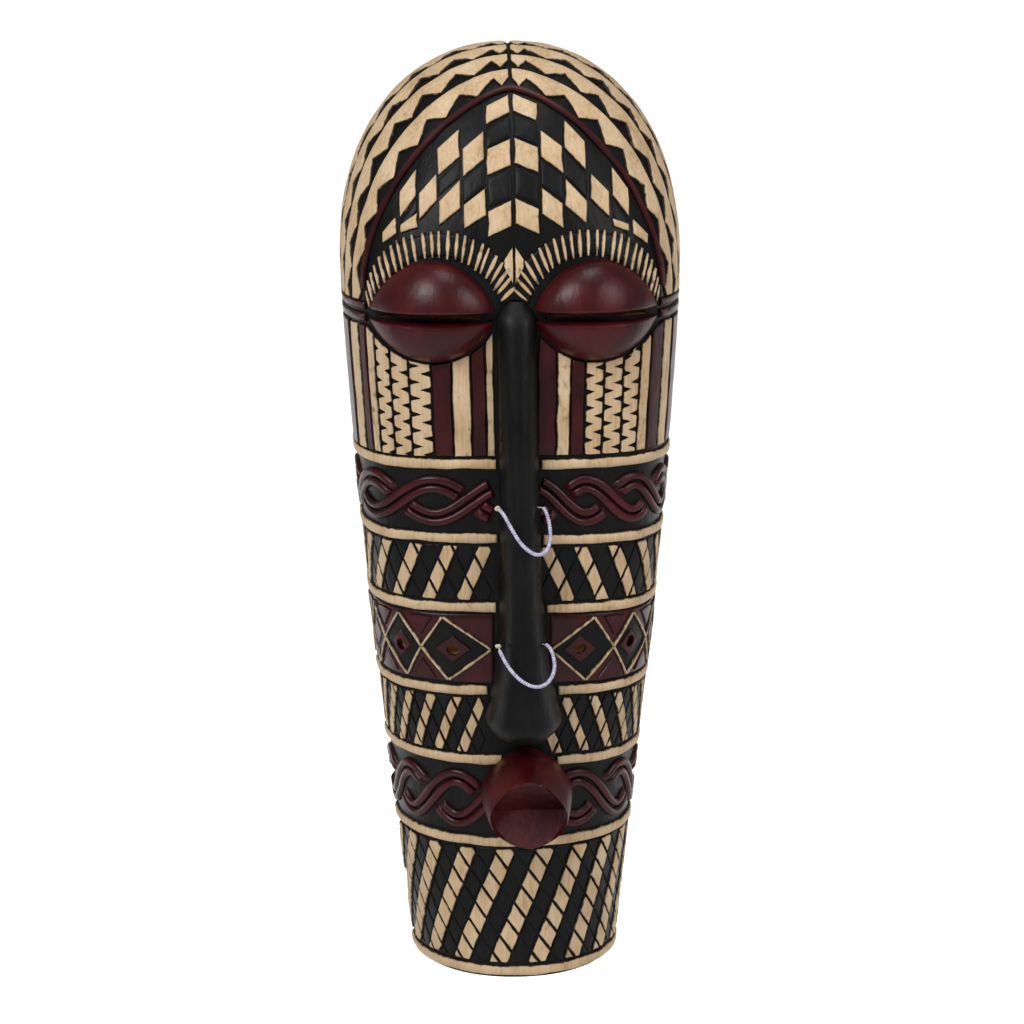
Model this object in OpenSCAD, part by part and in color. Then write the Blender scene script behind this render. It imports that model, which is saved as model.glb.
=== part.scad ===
// Carved wooden mask: a hollow carved block with raised, painted relief, two bead strands
// threaded through the nose ridge and a ring hanger let into the back of the crown.
// X is to the viewer's right, Y runs towards the wall, Z is up.
// Heights are measured from the chin, and the whole model is then lowered so that
// the origin is the point where the wall's nail bears on the raised hanger ring.

/* [Block] */
// Height from chin to crown
mask_h = 500; // [485:5:600]
// Greatest width, across the dome's foot
mask_w = 179; // [160:1:216]
// Width across the chin
chin_w = 109; // [90:1:132]
// Depth of the face, from the wall to the cheeks
face_depth = 83; // [69:1:100]
// Depth of the chin, from the wall
chin_depth = 68; // [56:1:82]
// Height where the dome of the forehead starts
dome_z = 390; // [385:1:400]
// Thickness of the carved wall
wall = 13; // [9:0.5:16]
// Height of the solid crown above the hollow
crown_solid = 80; // [77:1:86]
// How far the painted relief stands out of the ground
relief = 1.6; // [1:0.1:2.5]
// How far the foot of a carved feature runs into the block
root = 1.2; // [0.8:0.1:2]

/* [Eyes] */
// Height of the eye slits
eye_z = 366; // [360:1:370]
// Distance of each eye from the centre line
eye_x = 43; // [41:0.5:46]
// Half the length of an eye
eye_half = 33; // [28:0.5:34]
// Height of the upper lid
upper_lid_h = 29; // [24:0.5:31]
// Height of the lower lid
lower_lid_h = 24; // [20:0.5:27]
// How far the lids stand out
lid_bulge = 17; // [12:0.5:20]
// Height of the slit between the lids
slit_h = 5.4; // [4.6:0.1:6.4]
// Half the length of the slit
slit_half = 28; // [23:0.5:29]

/* [Nose] */
// Half the width of the nose ridge at its top
nose_top_half = 10.5; // [9:0.5:12.5]
// Half the width of the nose at its wings
nose_wing_half = 20.5; // [17:0.5:24]
// How far the nose stands out at its top
nose_top_out = 10; // [8:0.5:12]
// How far the nose stands out at its wings
nose_wing_out = 35; // [29:0.5:42]
// Sideways lean of the nose at its wings
nose_lean = 3.4; // [0:0.1:5]
// Height of the nose's wings
wing_z = 150; // [148:1:153]
// Roundness of the underside of the nose
tip_h = 17; // [14:0.5:19]
// Bore of the strand holes through the nose
strand_bore = 2.8; // [2.4:0.1:3.2]
// Height of the lowest pair of strand holes
hole_z = 194; // [190:1:198]
// Distance from one pair of strand holes to the next
hole_pitch = 36.4; // [34:0.2:37]

/* [Mouth] */
// Height of the mouth's corners
mouth_z = 107; // [106:0.5:108]
// Sideways shift of the mouth
mouth_x = 5; // [0:0.5:5]
// Half the width of the mouth at its foot
mouth_half = 24.5; // [20:0.5:28]
// Height of the mouth above and below its corners, at its foot
mouth_rise = 25.5; // [23:0.5:26]
// How far the mouth stands out
mouth_out = 38; // [32:0.5:44]
// Depth of the notch between the lips
notch_depth = 13; // [10:0.5:15]

/* [Bands] */
// Thickness of the cream ridges
ridge_w = 5.4; // [4.5:0.1:6.5]
// Diameter of the four drilled holes in the diamonds
diamond_hole = 6.5; // [5.4:0.1:7.8]

/* [Strands] */
// Thickness of the thread
thread_d = 0.6; // [0.5:0.05:0.7]
// Outer diameter of a bead
bead_d = 2.2; // [1.9:0.1:2.4]
// Hole of a bead
bead_hole = 0.8; // [0.75:0.05:0.9]
// Distance from one bead to the next
bead_pitch = 1.35; // [1.3:0.05:1.6]
// Diameter of the knots
knot_d = 3.6; // [3:0.1:3.8]

/* [Hanger] */
// Height of the ring's bar
bar_z = 448; // [446:1:450]
// Wire of the ring
wire_d = 2.4; // [2:0.1:2.8]
// Inside width of the ring
ring_w = 18; // [15:0.5:21]
// Inside length of the ring, bar to bow
ring_l = 15; // [13:0.5:17]
// Sheet thickness of the strap
strap_t = 1.0; // [0.8:0.1:1.2]
// Width of the strap
strap_w = 12; // [10:0.5:13]
// Running clearance between the ring's bar and the strap's loop
bar_clear = 0.1; // [0.05:0.05:0.1]
// Depth of the pocket behind the crown
pocket_depth = 6.2; // [5.8:0.1:7]
// Shank of the two screws
screw_d = 2.6; // [2.4:0.1:3]
// Length of the two screws below the strap
screw_l = 12; // [9:0.5:14]

/* [Hidden] */
$fn = 48;

cream = "#E2C79B";
ground = "#1B1B1D";
maroon = "#4A1216";
lilac = "#C9C6DE";
steel = "#B8B9BC";

side_curve = 1.3;         // how the sides draw in from the dome to the chin
dome_power = 2.14;        // squareness of the dome seen from the front
dome_depth_power = 1.85;  // squareness of the dome seen from the side
arch_half = 79.5;         // half width of the arch at the height of the eyes
arch_foot = 12;           // how far above the middle of the eyes the arch's feet stop
arch_top = mask_h - 20;
hang_z = bar_z + ring_l + wire_d / 2;
bar_y = -wire_d / 2 - 1.4;
ring_bow = ring_w / 2 + wire_d / 2;
band_z = [287.7, 247.2, 209.3, 163.4, 124, 77.8];
hollow_floor = wall;
hollow_top = mask_h - crown_solid;
nose_top = eye_z + 8;
nose_sink = 6;            // how deep the nose's foot runs into the block

// ---- the block's surface ------------------------------------------------------------

function signed_pow(v, e) = sign(v) * pow(abs(v), e);
function smooth(t) = let (c = max(0, min(1, t))) c * c * (3 - 2 * c);
function dome(z, top, power) = z <= dome_z ? 1
    : pow(max(0, 1 - pow((z - dome_z) / (top - dome_z), power)), 1 / power);
function half_width(z) = z <= dome_z
    ? mask_w / 2 - (mask_w - chin_w) / 2 * pow((dome_z - z) / dome_z, side_curve)
    : mask_w / 2 * dome(z, mask_h, dome_power);
function depth(z) = (chin_depth + (face_depth - chin_depth) * smooth((z + 20) / 350))
    * dome(z, mask_h, dome_depth_power);
function squareness(z) = 2.1 + 1.4 * smooth((z - 60) / 200) - 1.4 * smooth((z - 358) / 100);

// The point at angle t round the section at height z: 0 is the right rim, 90 the front.
function skin(t, z) = let (e = 2 / squareness(z))
    [half_width(z) * signed_pow(cos(t), e), -depth(z) * pow(abs(sin(t)), e), z];
// The same surface found from a front view: how far forward it is at x and z.
function front_y(x, z) = let (n = squareness(z), r = min(1, abs(x) / half_width(z)))
    -depth(z) * pow(max(0, 1 - pow(r, n)), 1 / n);
function on_front(x, z) = [x, front_y(x, z), z];
function unit(v) = v / norm(v);
// The outward direction at a front-view place.
function out_at(x, z) = let (g = 0.6, a = half_width(z) - 2 * g, c = max(-a, min(a, x)))
    unit(cross(on_front(c + g, z) - on_front(c - g, z), on_front(c, z + g) - on_front(c, z - g)));
function x_at(t, z) = skin(t, z).x;

// ---- solids built on the surface ----------------------------------------------------

// Triangles of a closed sleeve: rings of m points, capped at both ends.
function sleeve_faces(rings, m) = concat(
    [for (i = [0 : rings - 2], j = [0 : m - 1]) let (k = (j + 1) % m) each
        [[i * m + j, i * m + k, (i + 1) * m + k], [i * m + j, (i + 1) * m + k, (i + 1) * m + j]]],
    [for (j = [1 : m - 2]) [0, j + 1, j]],
    [for (j = [1 : m - 2]) let (b = (rings - 1) * m) [b, b + j, b + j + 1]]);
function flat_list(rows) = [for (r = rows) each r];

// A strip laid along a path of [x, z] places, standing out by rise. w is its width, or one for each place.
module strip(path, w, rise) {
    n = len(path);
    rings = [for (i = [0 : n - 1])
        let (p = on_front(path[i].x, path[i].y), o = out_at(path[i].x, path[i].y),
             a = path[max(0, i - 1)], b = path[min(n - 1, i + 1)],
             d = unit(on_front(b.x, b.y) - on_front(a.x, a.y)),
             s = unit(cross(o, d)) * (is_list(w) ? w[i] : w) / 2)
        [p - s - o * root, p + s - o * root, p + s * 0.8 + o * rise, p - s * 0.8 + o * rise]];
    polyhedron(flat_list(rings), sleeve_faces(n, 4), convexity = 6);
}

// A flat-topped tile whose corners are [x, z] places.
module tile(corners, rise) {
    n = len(corners);
    foot = [for (c = corners) on_front(c.x, c.y) - out_at(c.x, c.y) * root];
    top = [for (c = corners) on_front(c.x, c.y) + out_at(c.x, c.y) * rise];
    polyhedron(concat(foot, top), sleeve_faces(2, n), convexity = 4);
}

// A swelling on the face: a grid of [x, z, rise] rows standing straight out.
module swelling(rows, sink) {
    n = len(rows);
    m = len(rows[0]);
    top = [for (r = rows, q = r) [q.x, front_y(q.x, q.y) - q.z, q.y]];
    foot = [for (r = rows, q = r) [q.x, front_y(q.x, q.y) + sink, q.y]];
    count = n * m;
    rim = concat([for (j = [0 : m - 1]) j], [for (i = [1 : n - 1]) i * m + m - 1],
        [for (j = [m - 2 : -1 : 0]) (n - 1) * m + j], [for (i = [n - 2 : -1 : 1]) i * m]);
    faces = concat(
        [for (i = [0 : n - 2], j = [0 : m - 2]) each
            [[i * m + j, i * m + j + 1, (i + 1) * m + j + 1],
             [i * m + j, (i + 1) * m + j + 1, (i + 1) * m + j]]],
        [for (i = [0 : n - 2], j = [0 : m - 2]) each
            [[count + i * m + j, count + (i + 1) * m + j + 1, count + i * m + j + 1],
             [count + i * m + j, count + (i + 1) * m + j, count + (i + 1) * m + j + 1]]],
        [for (k = [0 : len(rim) - 1]) let (a = rim[k], b = rim[(k + 1) % len(rim)])
            each [[b, a, count + a], [b, count + a, count + b]]]);
    polyhedron(concat(top, foot), faces, convexity = 6);
}

// ---- the carved block ---------------------------------------------------------------

section_steps = 28;
level_count = 26;
function level_z(i) = i < 17 ? dome_z * i / 16
    : dome_z + (mask_h - dome_z) * sin(86 * (i - 16) / (level_count - 17));
function outer_ring(i) = [for (j = [0 : section_steps]) skin(180 * j / section_steps, level_z(i))];
function hollow_z(i) = hollow_floor + (hollow_top - hollow_floor) * i / (level_count - 1);
function hollow_dome(z) = let (start = hollow_top - 70)
    z <= start ? 1 : pow(max(0, 1 - pow((z - start) / 70.5, 2.2)), 1 / 2.2);
function inner_ring(i) = let (z = hollow_z(i), k = hollow_dome(z), e = 2 / squareness(z))
    [for (j = [0 : section_steps]) let (t = 180 * j / section_steps)
        [(half_width(z) - wall) * k * signed_pow(cos(t), e),
         -(depth(z) - wall) * k * pow(abs(sin(t)), e), z]];

// The wall between the outside and the hollow, open at the back.
module shell_body() {
    m = section_steps + 1;
    n = level_count;
    points = concat(flat_list([for (i = [0 : n - 1]) outer_ring(i)]),
        flat_list([for (i = [0 : n - 1]) inner_ring(i)]), [[0, 0, mask_h]]);
    inner = n * m;
    apex = 2 * n * m;
    faces = concat(
        [for (i = [0 : n - 2], j = [0 : m - 2]) each
            [[i * m + j, i * m + j + 1, (i + 1) * m + j + 1],
             [i * m + j, (i + 1) * m + j + 1, (i + 1) * m + j]]],
        [for (j = [0 : m - 2]) [(n - 1) * m + j, (n - 1) * m + j + 1, apex]],
        [for (i = [0 : n - 2], j = [0 : m - 2]) each
            [[inner + i * m + j, inner + (i + 1) * m + j + 1, inner + i * m + j + 1],
             [inner + i * m + j, inner + (i + 1) * m + j, inner + (i + 1) * m + j + 1]]],
        [for (i = [0 : n - 2]) each
            [[i * m, (i + 1) * m, inner + (i + 1) * m], [i * m, inner + (i + 1) * m, inner + i * m],
             [(i + 1) * m - 1, inner + (i + 2) * m - 1, (i + 2) * m - 1],
             [(i + 1) * m - 1, inner + (i + 1) * m - 1, inner + (i + 2) * m - 1]]],
        [[for (j = [m - 1 : -1 : 0]) j]],
        [[for (j = [0 : m - 1]) inner + j]],
        [[for (j = [m - 1 : -1 : 0]) inner + (n - 1) * m + j]],
        [[0, inner, inner + m - 1, m - 1]],
        [[(n - 1) * m, apex, inner + (n - 1) * m]],
        [[n * m - 1, inner + n * m - 1, apex]],
        [[inner + (n - 1) * m, apex, inner + n * m - 1]]);
    polyhedron(points, faces, convexity = 8);
}

diamond_holes = [for (side = [-1, 1], x = [33.5, 60]) [side * x, (band_z[2] + band_z[3]) / 2]];

module carved_shell() {
    color(ground) difference() {
        shell_body();
        for (side = [-1, 1]) eye_slit(side);
        for (h = diamond_holes) place_hole(h) cylinder(d = diamond_hole, h = 4 * wall, center = true);
        translate([-ring_bow - 5, -pocket_depth, bar_z - ring_l - wire_d - 4])
            cube([2 * ring_bow + 10, pocket_depth + 1, 2 * (ring_l + wire_d) + 8]);
        for (s = [-1, 1]) screw_place(s) rotate([90, 0, 0]) cylinder(d = screw_d + 0.1, h = screw_l + 1);
    }
}

// Turns +Z to the surface's outward direction at a front-view place.
module place_hole(h) {
    o = out_at(h.x, h.y);
    translate(on_front(h.x, h.y)) rotate([0, acos(o.z), atan2(o.y, o.x)]) children();
}

module eye_slit(side)
    translate([side * eye_x - slit_half, -face_depth - lid_bulge - 10, eye_z - slit_h / 2])
        cube([2 * slit_half, face_depth, slit_h]);

// ---- eyes, brows, nose and mouth ----------------------------------------------------

// One lid: from the slit's edge out to the almond outline, bulging like a half bean.
module lid(side, height, up) {
    steps = 14;
    rows_out = 7;
    rows = [for (r = [0 : rows_out]) [for (i = [0 : steps]) let (
            s = -0.97 + 1.94 * i / steps, k = up > 0 ? i : steps - i, v = up > 0 ? s : -s,
            edge = height * pow(1 - s * s, 0.65), q = r / rows_out,
            z = eye_z + up * (slit_h / 2 + max(0.4, edge - slit_h / 2) * q))
        [side * eye_x + v * eye_half, z,
         lid_bulge * pow(1 - s * s, 0.6) * pow(max(0, 1 - q * q), 0.55)]]];
    color(maroon) swelling(rows, 2 * root);
}

module brow(side) {
    turns = [for (i = [0 : 16]) 42 + 116 * i / 16];
    path = [for (t = turns)
        [side * (eye_x + (eye_half + 6.5) * cos(t)), eye_z + (upper_lid_h + 12) * sin(t)]];
    color(ground) strip(path, [for (t = turns) min(11, 3.5 + 0.75 * (t - 42), 5 + 0.4 * (158 - t))], relief);
}

function nose_fall(z) = max(0, min(1, (eye_z - z) / (eye_z - wing_z)));
function nose_tip(z) = z >= wing_z ? 1 : sqrt(max(0, 1 - pow((wing_z - z) / tip_h, 2)));
function nose_half(z) = (nose_top_half + (nose_wing_half - nose_top_half) * pow(nose_fall(z), nose_flare))
    * nose_tip(z) * (z > eye_z ? 1 - 0.6 * (z - eye_z) / 8 : 1);
function nose_out(z) = (nose_top_out + (nose_wing_out - nose_top_out) * pow(nose_fall(z), 0.75))
    * (0.25 + 0.75 * nose_tip(z)) * (z > eye_z ? 1 - 0.6 * (z - eye_z) / 8 : 1);
function nose_x(z) = nose_lean * (0.25 + 0.75 * nose_fall(z));
nose_power = 2.2;          // squareness of the nose's section
nose_flare = 6;            // how late the nose widens into its wings
// How far out of the nose's own foot its flank is, at x from the nose's centre.
function nose_rise(x, z) = nose_out(z)
    * pow(max(0, 1 - pow(abs(x) / nose_half(z), nose_power)), 1 / nose_power);

hole_half = [9.2, 9.2, 9.4, 10.3];   // where each pair of holes opens, from the nose's centre
function bore_z(i) = hole_z + hole_pitch * (3 - i);
function bore_y(i) = -depth(bore_z(i)) - nose_rise(hole_half[i], bore_z(i));

module nose_ridge() {
    steps = 16;
    levels = 20;
    rings = [for (i = [0 : levels]) let (
            z = i < 7 ? wing_z - tip_h * 0.985 * cos(90 * i / 7)
                : wing_z + (nose_top - wing_z) * (i - 7) / (levels - 7))
        concat([for (j = [0 : steps]) let (t = 180 * j / steps, e = 2 / nose_power)
            [nose_x(z) + nose_half(z) * signed_pow(cos(t), e),
             -depth(z) - nose_out(z) * pow(abs(sin(t)), e), z]],
            [[nose_x(z) - nose_half(z), -depth(z) + nose_sink, z],
             [nose_x(z) + nose_half(z), -depth(z) + nose_sink, z]])];
    color(ground) difference() {
        polyhedron(flat_list(rings), sleeve_faces(levels + 1, steps + 3), convexity = 4);
        for (i = [0 : 3]) translate([0, bore_y(i), bore_z(i)]) rotate([0, 90, 0])
            cylinder(d = strand_bore, h = 3 * nose_wing_half, center = true);
    }
}

// The mouth: a blunt snout, pointed above and drawn in below its corners, with a notch
// across its front between the lips.
module mouth() {
    steps = 24;
    base_y = -depth(mouth_z);
    sides = [[-8, 1.0], [4, 1.0], [14, 0.97], [24, 0.92], [31, 0.88], [mouth_out - 2, 0.84],
        [mouth_out, 0.78]];
    front = [0.55, 0.36, 0.18, 0.02];
    function place(k, t) = let (up = sin(t) > 0, c = signed_pow(cos(t), up ? 1.3 : 1.45))
        [mouth_x + mouth_half * k * c,
         mouth_z + mouth_rise * k * (up ? 0.96 * pow(sin(t), 1.2) : -pow(-sin(t), 0.85))];
    function notch(z) = notch_depth * max(0, 1 - abs(z - mouth_z) / (0.74 * mouth_rise));
    rings = concat(
        [for (q = sides) [for (j = [0 : steps - 1]) let (p = place(q[1], 360 * j / steps))
            [p.x, base_y - q[0] + (q[0] == mouth_out ? notch(p.y) : 0), p.y]]],
        [for (k = front) [for (j = [0 : steps - 1]) let (p = place(k, 360 * j / steps))
            [p.x, base_y - mouth_out + notch(p.y), p.y]]]);
    color(maroon) polyhedron(flat_list(rings), sleeve_faces(len(rings), steps), convexity = 4);
}

// ---- forehead and crown -------------------------------------------------------------

function arch_x(z) = arch_half * pow(max(0, 1 - pow((z - eye_z) / (arch_top - eye_z), 2)), 1 / 1.5);
// Share of the way from the dome's centre to its outline where the arch lies, by halving.
function arch_share(f, low = 0, high = 1, turn = 0) = let (s = (low + high) / 2, p = rim_at(f) * s)
    turn > 18 ? s : abs(p.x) < arch_x(min(arch_top, dome_z + p.y)) && dome_z + p.y < arch_top
        ? arch_share(f, s, high, turn + 1) : arch_share(f, low, s, turn + 1);
function rim_at(f) = let (q = pow(pow(abs(cos(f)) / (mask_w / 2), dome_power)
    + pow(abs(sin(f)) / (mask_h - dome_z), dome_power), -1 / dome_power)) [q * cos(f), q * sin(f)];
// The [x, z] place at angle f round the dome, share k of the way from the arch to the rim.
function crown_place(f, k) = let (a = asin(arch_share(f)), s = sin(a + (90 - a) * k), p = rim_at(f) * s)
    [p.x, dome_z + p.y];
function crown_path(k) = concat(
    [[crown_place(0, k).x * half_width(eye_z) / half_width(dome_z), eye_z + 3]],
    [for (i = [0 : 30]) crown_place(6 * i, k)],
    [[-crown_place(0, k).x * half_width(eye_z) / half_width(dome_z), eye_z + 3]]);

module crown_arch() {
    foot = crown_place(0, 0).x;
    path = concat([[foot, eye_z + arch_foot]], [for (i = [0 : 30]) crown_place(6 * i, 0)],
        [[-foot, eye_z + arch_foot]]);
    color(maroon) strip(path, 3, relief + 1);
}
// How wide a border can be at each place of its path, between the arch, its neighbours and the rim.
function crown_widths(k) = let (w = [for (i = [0 : 30])
        let (a = crown_place(6 * i, k - 0.08), b = crown_place(6 * i, k + 0.08))
        norm(on_front(b.x, b.y) - on_front(a.x, a.y))])
    concat([w[0]], w, [w[30]]);
module crown_border(i) {
    k = (i - 0.4) / 4;
    color(cream) strip(crown_path(k), crown_widths(k), relief);
}

tile_w = 13.5;
tile_h = 14.5;
module forehead_tiles(side) {
    color(cream) for (c = [0 : 4], r = [-1 : 7]) {
        x0 = side * (1 + c * tile_w);
        x1 = side * (c * tile_w + tile_w - 1);
        z1 = arch_top - 14 - (r + (c % 2)) * tile_h * 2 + c * 4;
        z0 = z1 - tile_h;
        drop = 5;
        low = eye_z + upper_lid_h + 19;
        roof = arch_top - 6;
        if (z0 - drop > low && z1 < roof && abs(x1) < arch_x(z1) - 3 && x1 * side < 0.8 * half_width(z1))
            tile(side > 0 ? [[x0, z0], [x1, z0 - drop], [x1, z1 - drop], [x0, z1]]
                : [[x0, z1], [x1, z1 - drop], [x1, z0 - drop], [x0, z0]], relief);
    }
}

// ---- cheeks -------------------------------------------------------------------------

cheek_low = band_z[0] + ridge_w / 2 + 2;
// Where the eye's lower lid ends above a stripe at x from the centre line.
function lid_edge(x) = let (s = min(1, abs(abs(x) - eye_x) / (eye_half + 1)))
    eye_z - (s < 1 ? lower_lid_h * pow(1 - s * s, 0.65) : 0) - 5;
// One upright stripe at a share u of the half width, w wide.
module stripe(side, u, w) {
    top = lid_edge(u * half_width(330));
    strip([for (i = [0 : 3]) let (z = cheek_low + (top - cheek_low) * i / 3)
        [side * u * half_width(z), z]], w, relief);
}
module cream_stripes(side) {
    color(cream) for (q = [[0.325, 8], [0.565, 8], [0.685, 6.5], [0.785, 5], [0.93, 3]])
        stripe(side, q[0], q[1]);
}
module maroon_stripes(side) {
    color(maroon) for (q = [[0.225, 6], [0.42, 6], [0.87, 4]]) stripe(side, q[0], q[1]);
}

// ---- bands --------------------------------------------------------------------------

function band_gap(i) = i == 5 ? 0 : i < 3 ? nose_half(band_z[i]) + 2 : i == 3 ? 21 : 23;
// A cream ridge round the face at height z, leaving a gap for the nose.
module ridge(z, gap, w) {
    edge = 7;
    if (gap == 0)
        strip([for (i = [0 : 28]) let (t = edge + (180 - 2 * edge) * i / 28) [x_at(t, z), z]], w, relief);
    else for (side = [-1, 1]) strip([for (i = [0 : 14]) let (
            t0 = acos(pow((gap + 1) / half_width(z), squareness(z) / 2)), t = edge + (t0 - edge) * i / 14)
        [side * x_at(t, z), z]], w, relief);
}
module ridge_band(i) { color(cream) ridge(band_z[i - 1], band_gap(i - 1), ridge_w); }
module chin_border() { color(cream) ridge(ridge_w / 2 + 1.4, 0, ridge_w); }

braid_pitch = 68;
// One wave of a braid between two distances from the centre line.
module braid_wave(side, sign, mid, swing, start, x0, x1) {
    strip([for (i = [0 : 10]) let (x = x0 + (x1 - x0) * i / 10)
        [side * x, mid + sign * swing * cos(360 * (x - start) / braid_pitch)]], 7.5, relief);
}
// Two waves between two ridges; the second breaks off where it dives under the first.
module braid(side, high, low, start) {
    mid = (high + low) / 2;
    swing = (high - low) / 2 - 11;
    end = 0.93 * half_width(mid);
    under = 8.5;
    color(maroon) {
        braid_wave(side, 1, mid, swing, start, start, end);
        for (k = [-1 : 1]) let (x0 = max(start, start + braid_pitch * (0.25 + k / 2) + under),
                x1 = min(end, start + braid_pitch * (0.75 + k / 2) - under))
            if (x1 - x0 > 3) braid_wave(side, -1, mid, swing, start, x0, x1);
    }
}

lattice_lean = 13;
// Slanting chains of rhombi between two ridges, leaning out at the foot.
module lattice(side, high, low, start) {
    color(cream) for (k = [0 : 2]) {
        x = start + 4 + k * (0.86 * half_width(low) - start) / 3;
        strip([for (i = [0 : 3]) [side * (x + lattice_lean * i / 3), high - 4 - (high - low - 8) * i / 3]],
            4.6, relief * 0.7);
    }
}
module chin_lattice() {
    color(cream) for (k = [-2 : 3]) {
        high = band_z[5] - 5;
        x = k * 15.5;
        strip([for (i = [0 : 4]) [x - 4.5 * i - 3, high - (high - 9) * i / 4]], 5, relief * 0.7);
    }
}

// Outlined diamonds round the drilled holes.
module diamonds(side) {
    mid = diamond_holes[0].y;
    half = (band_z[2] - band_z[3]) / 2 - 5;
    color(maroon) difference() {
        for (q = [[33.5, 10], [60, 6]]) let (x = side * q[0], w = q[1], h = half * 0.55)
            tile(side > 0 ? [[x - w, mid], [x, mid - h], [x + w, mid], [x, mid + h]]
                : [[x - w, mid], [x, mid - h], [x + w, mid], [x, mid + h]], relief * 0.7);
        for (h = diamond_holes) place_hole(h) cylinder(d = diamond_hole, h = 4 * wall, center = true);
    }
}

// ---- bead strands -------------------------------------------------------------------

// Each route runs from inside the right mouth of its bore round the front to the left mouth:
// [sideways from the nose's centre, forward of the bore, below the bore].
upper_route = [[7, 0, 0], [10, 0, 0], [12, 0.4, 0.5], [13.3, 1, 2.4], [14.3, 1.9, 5.4], [15, 3, 9],
    [15.4, 4.3, 12.6], [15.2, 5.8, 16], [14.4, 7.5, 19], [12.9, 9.2, 21.3], [10.8, 11, 22.6],
    [8.3, 12.6, 22.6], [5.6, 13.9, 21.4], [3, 14.8, 19.4], [0.5, 15.1, 16.9], [-1.8, 14.8, 13.9],
    [-3.9, 13.9, 10.6], [-5.8, 12.5, 7.3], [-7.5, 10.7, 4.3], [-9.1, 8.4, 1.9], [-10.6, 5.7, 0.4],
    [-12, 2.8, -0.2]];
lower_route = [[7, 0, 0], [10.4, 0, 0], [12.6, 1, 0.5], [14.2, 2.1, 2.2], [15.3, 3.3, 4.8], [16, 4.7, 7.7],
    [16.1, 6.2, 10.7], [15.5, 7.8, 13.5], [14.2, 9.4, 16], [12.3, 11, 18], [9.9, 12.3, 19.2],
    [7.1, 13.4, 19.6], [4.2, 14.1, 19.1], [1.4, 14.4, 17.9], [-1.4, 14.3, 16.1], [-4, 13.7, 13.9],
    [-6.5, 12.5, 11.3], [-8.7, 10.9, 8.4], [-10.5, 9, 5.6], [-11.9, 7, 3], [-12.8, 5.2, 1],
    [-13.3, 3.8, -0.2]];
function strand_points(route, i) = [for (q = route)
    [nose_x(bore_z(i)) + q[0], bore_y(i) - q[1], bore_z(i) - q[2]]];
function tangent(p, i) = unit(p[min(len(p) - 1, i + 1)] - p[max(0, i - 1)]);

// A thread: an eight-sided tube through the route's own points.
module thread(p) {
    sides = 8;
    rings = [for (i = [0 : len(p) - 1])
        let (d = tangent(p, i), a = unit(cross(d, [0.13, -0.9, 0.4])), b = cross(d, a))
        [for (j = [0 : sides - 1]) let (t = 360 * j / sides) p[i] + thread_d / 2 * (a * cos(t) + b * sin(t))]];
    color(cream) polyhedron(flat_list(rings), sleeve_faces(len(p), sides), convexity = 4);
}
function lengths(p, i = 0, sum = 0) = i >= len(p) ? [] : concat([sum],
    lengths(p, i + 1, i + 1 < len(p) ? sum + norm(p[i + 1] - p[i]) : sum));
// The place and direction at a distance along the points.
function along(p, l, s, i = 0) = i >= len(p) - 2 || l[i + 1] >= s
    ? [p[i] + (p[i + 1] - p[i]) * (s - l[i]) / (l[i + 1] - l[i]), unit(p[i + 1] - p[i])]
    : along(p, l, s, i + 1);
module beads(p) {
    l = lengths(p);
    first = 5.4;
    last = l[len(l) - 1] - knot_d / 2 - 0.8;
    tube = (bead_d - bead_hole) / 4;
    color(lilac) for (s = [first : bead_pitch : last]) let (q = along(p, l, s), d = q[1])
        translate(q[0]) rotate([0, acos(d.z), atan2(d.y, d.x)])
            rotate_extrude() translate([bead_hole / 2 + tube, 0]) circle(r = tube);
}
module knot(p) { color(cream) translate(p[len(p) - 1]) sphere(d = knot_d); }

// ---- hanger -------------------------------------------------------------------------

loop_r = wire_d / 2 + bar_clear;
module screw_place(s) { translate([s * strap_w * 0.27, -pocket_depth + strap_t, bar_z - 9]) children(); }
// Sheet strap: a plate on the pocket's floor with a loop bent over the ring's bar.
module hanger_strap() {
    y0 = -pocket_depth;
    color(steel) difference() {
        union() {
            translate([-strap_w / 2, y0, bar_z - 14]) cube([strap_w, strap_t, 14]);
            translate([-strap_w / 2, 0, 0]) translate([0, bar_y, bar_z]) rotate([0, 90, 0])
                cylinder(r = loop_r + strap_t, h = strap_w);
            translate([-strap_w / 2, y0, bar_z - loop_r - strap_t])
                cube([strap_w, bar_y - y0, loop_r + strap_t]);
        }
        translate([0, bar_y, bar_z]) rotate([0, 90, 0]) cylinder(r = loop_r, h = 2 * strap_w, center = true);
        for (s = [-1, 1]) screw_place(s) rotate([90, 0, 0])
            cylinder(d = screw_d + 0.1, h = 3 * strap_t, center = true);
    }
}
// The ring hangs below its bar: a D of round wire.
module hanger_ring() {
    r = ring_w / 2 + wire_d / 2;
    straight = ring_l + wire_d - r;
    color(steel) translate([0, bar_y, bar_z]) {
        rotate([0, 90, 0]) cylinder(d = wire_d, h = 2 * r, center = true);
        for (s = [-1, 1]) translate([s * r, 0, 0]) {
            sphere(d = wire_d);
            translate([0, 0, -straight]) cylinder(d = wire_d, h = straight);
        }
        translate([0, 0, -straight]) rotate([90, 0, 0]) rotate([0, 0, 180])
            rotate_extrude(angle = 180) translate([r, 0]) circle(d = wire_d);
    }
}
module hanger_screws() {
    color(steel) for (s = [-1, 1]) screw_place(s) {
        rotate([90, 0, 0]) cylinder(d = screw_d, h = screw_l);
        rotate([-90, 0, 0]) cylinder(d1 = screw_d * 1.8, d2 = screw_d * 1.1, h = 1.2);
    }
}

// ---- the nodes ----------------------------------------------------------------------

module hung() { translate([0, 0, -hang_z]) children(); }

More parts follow.
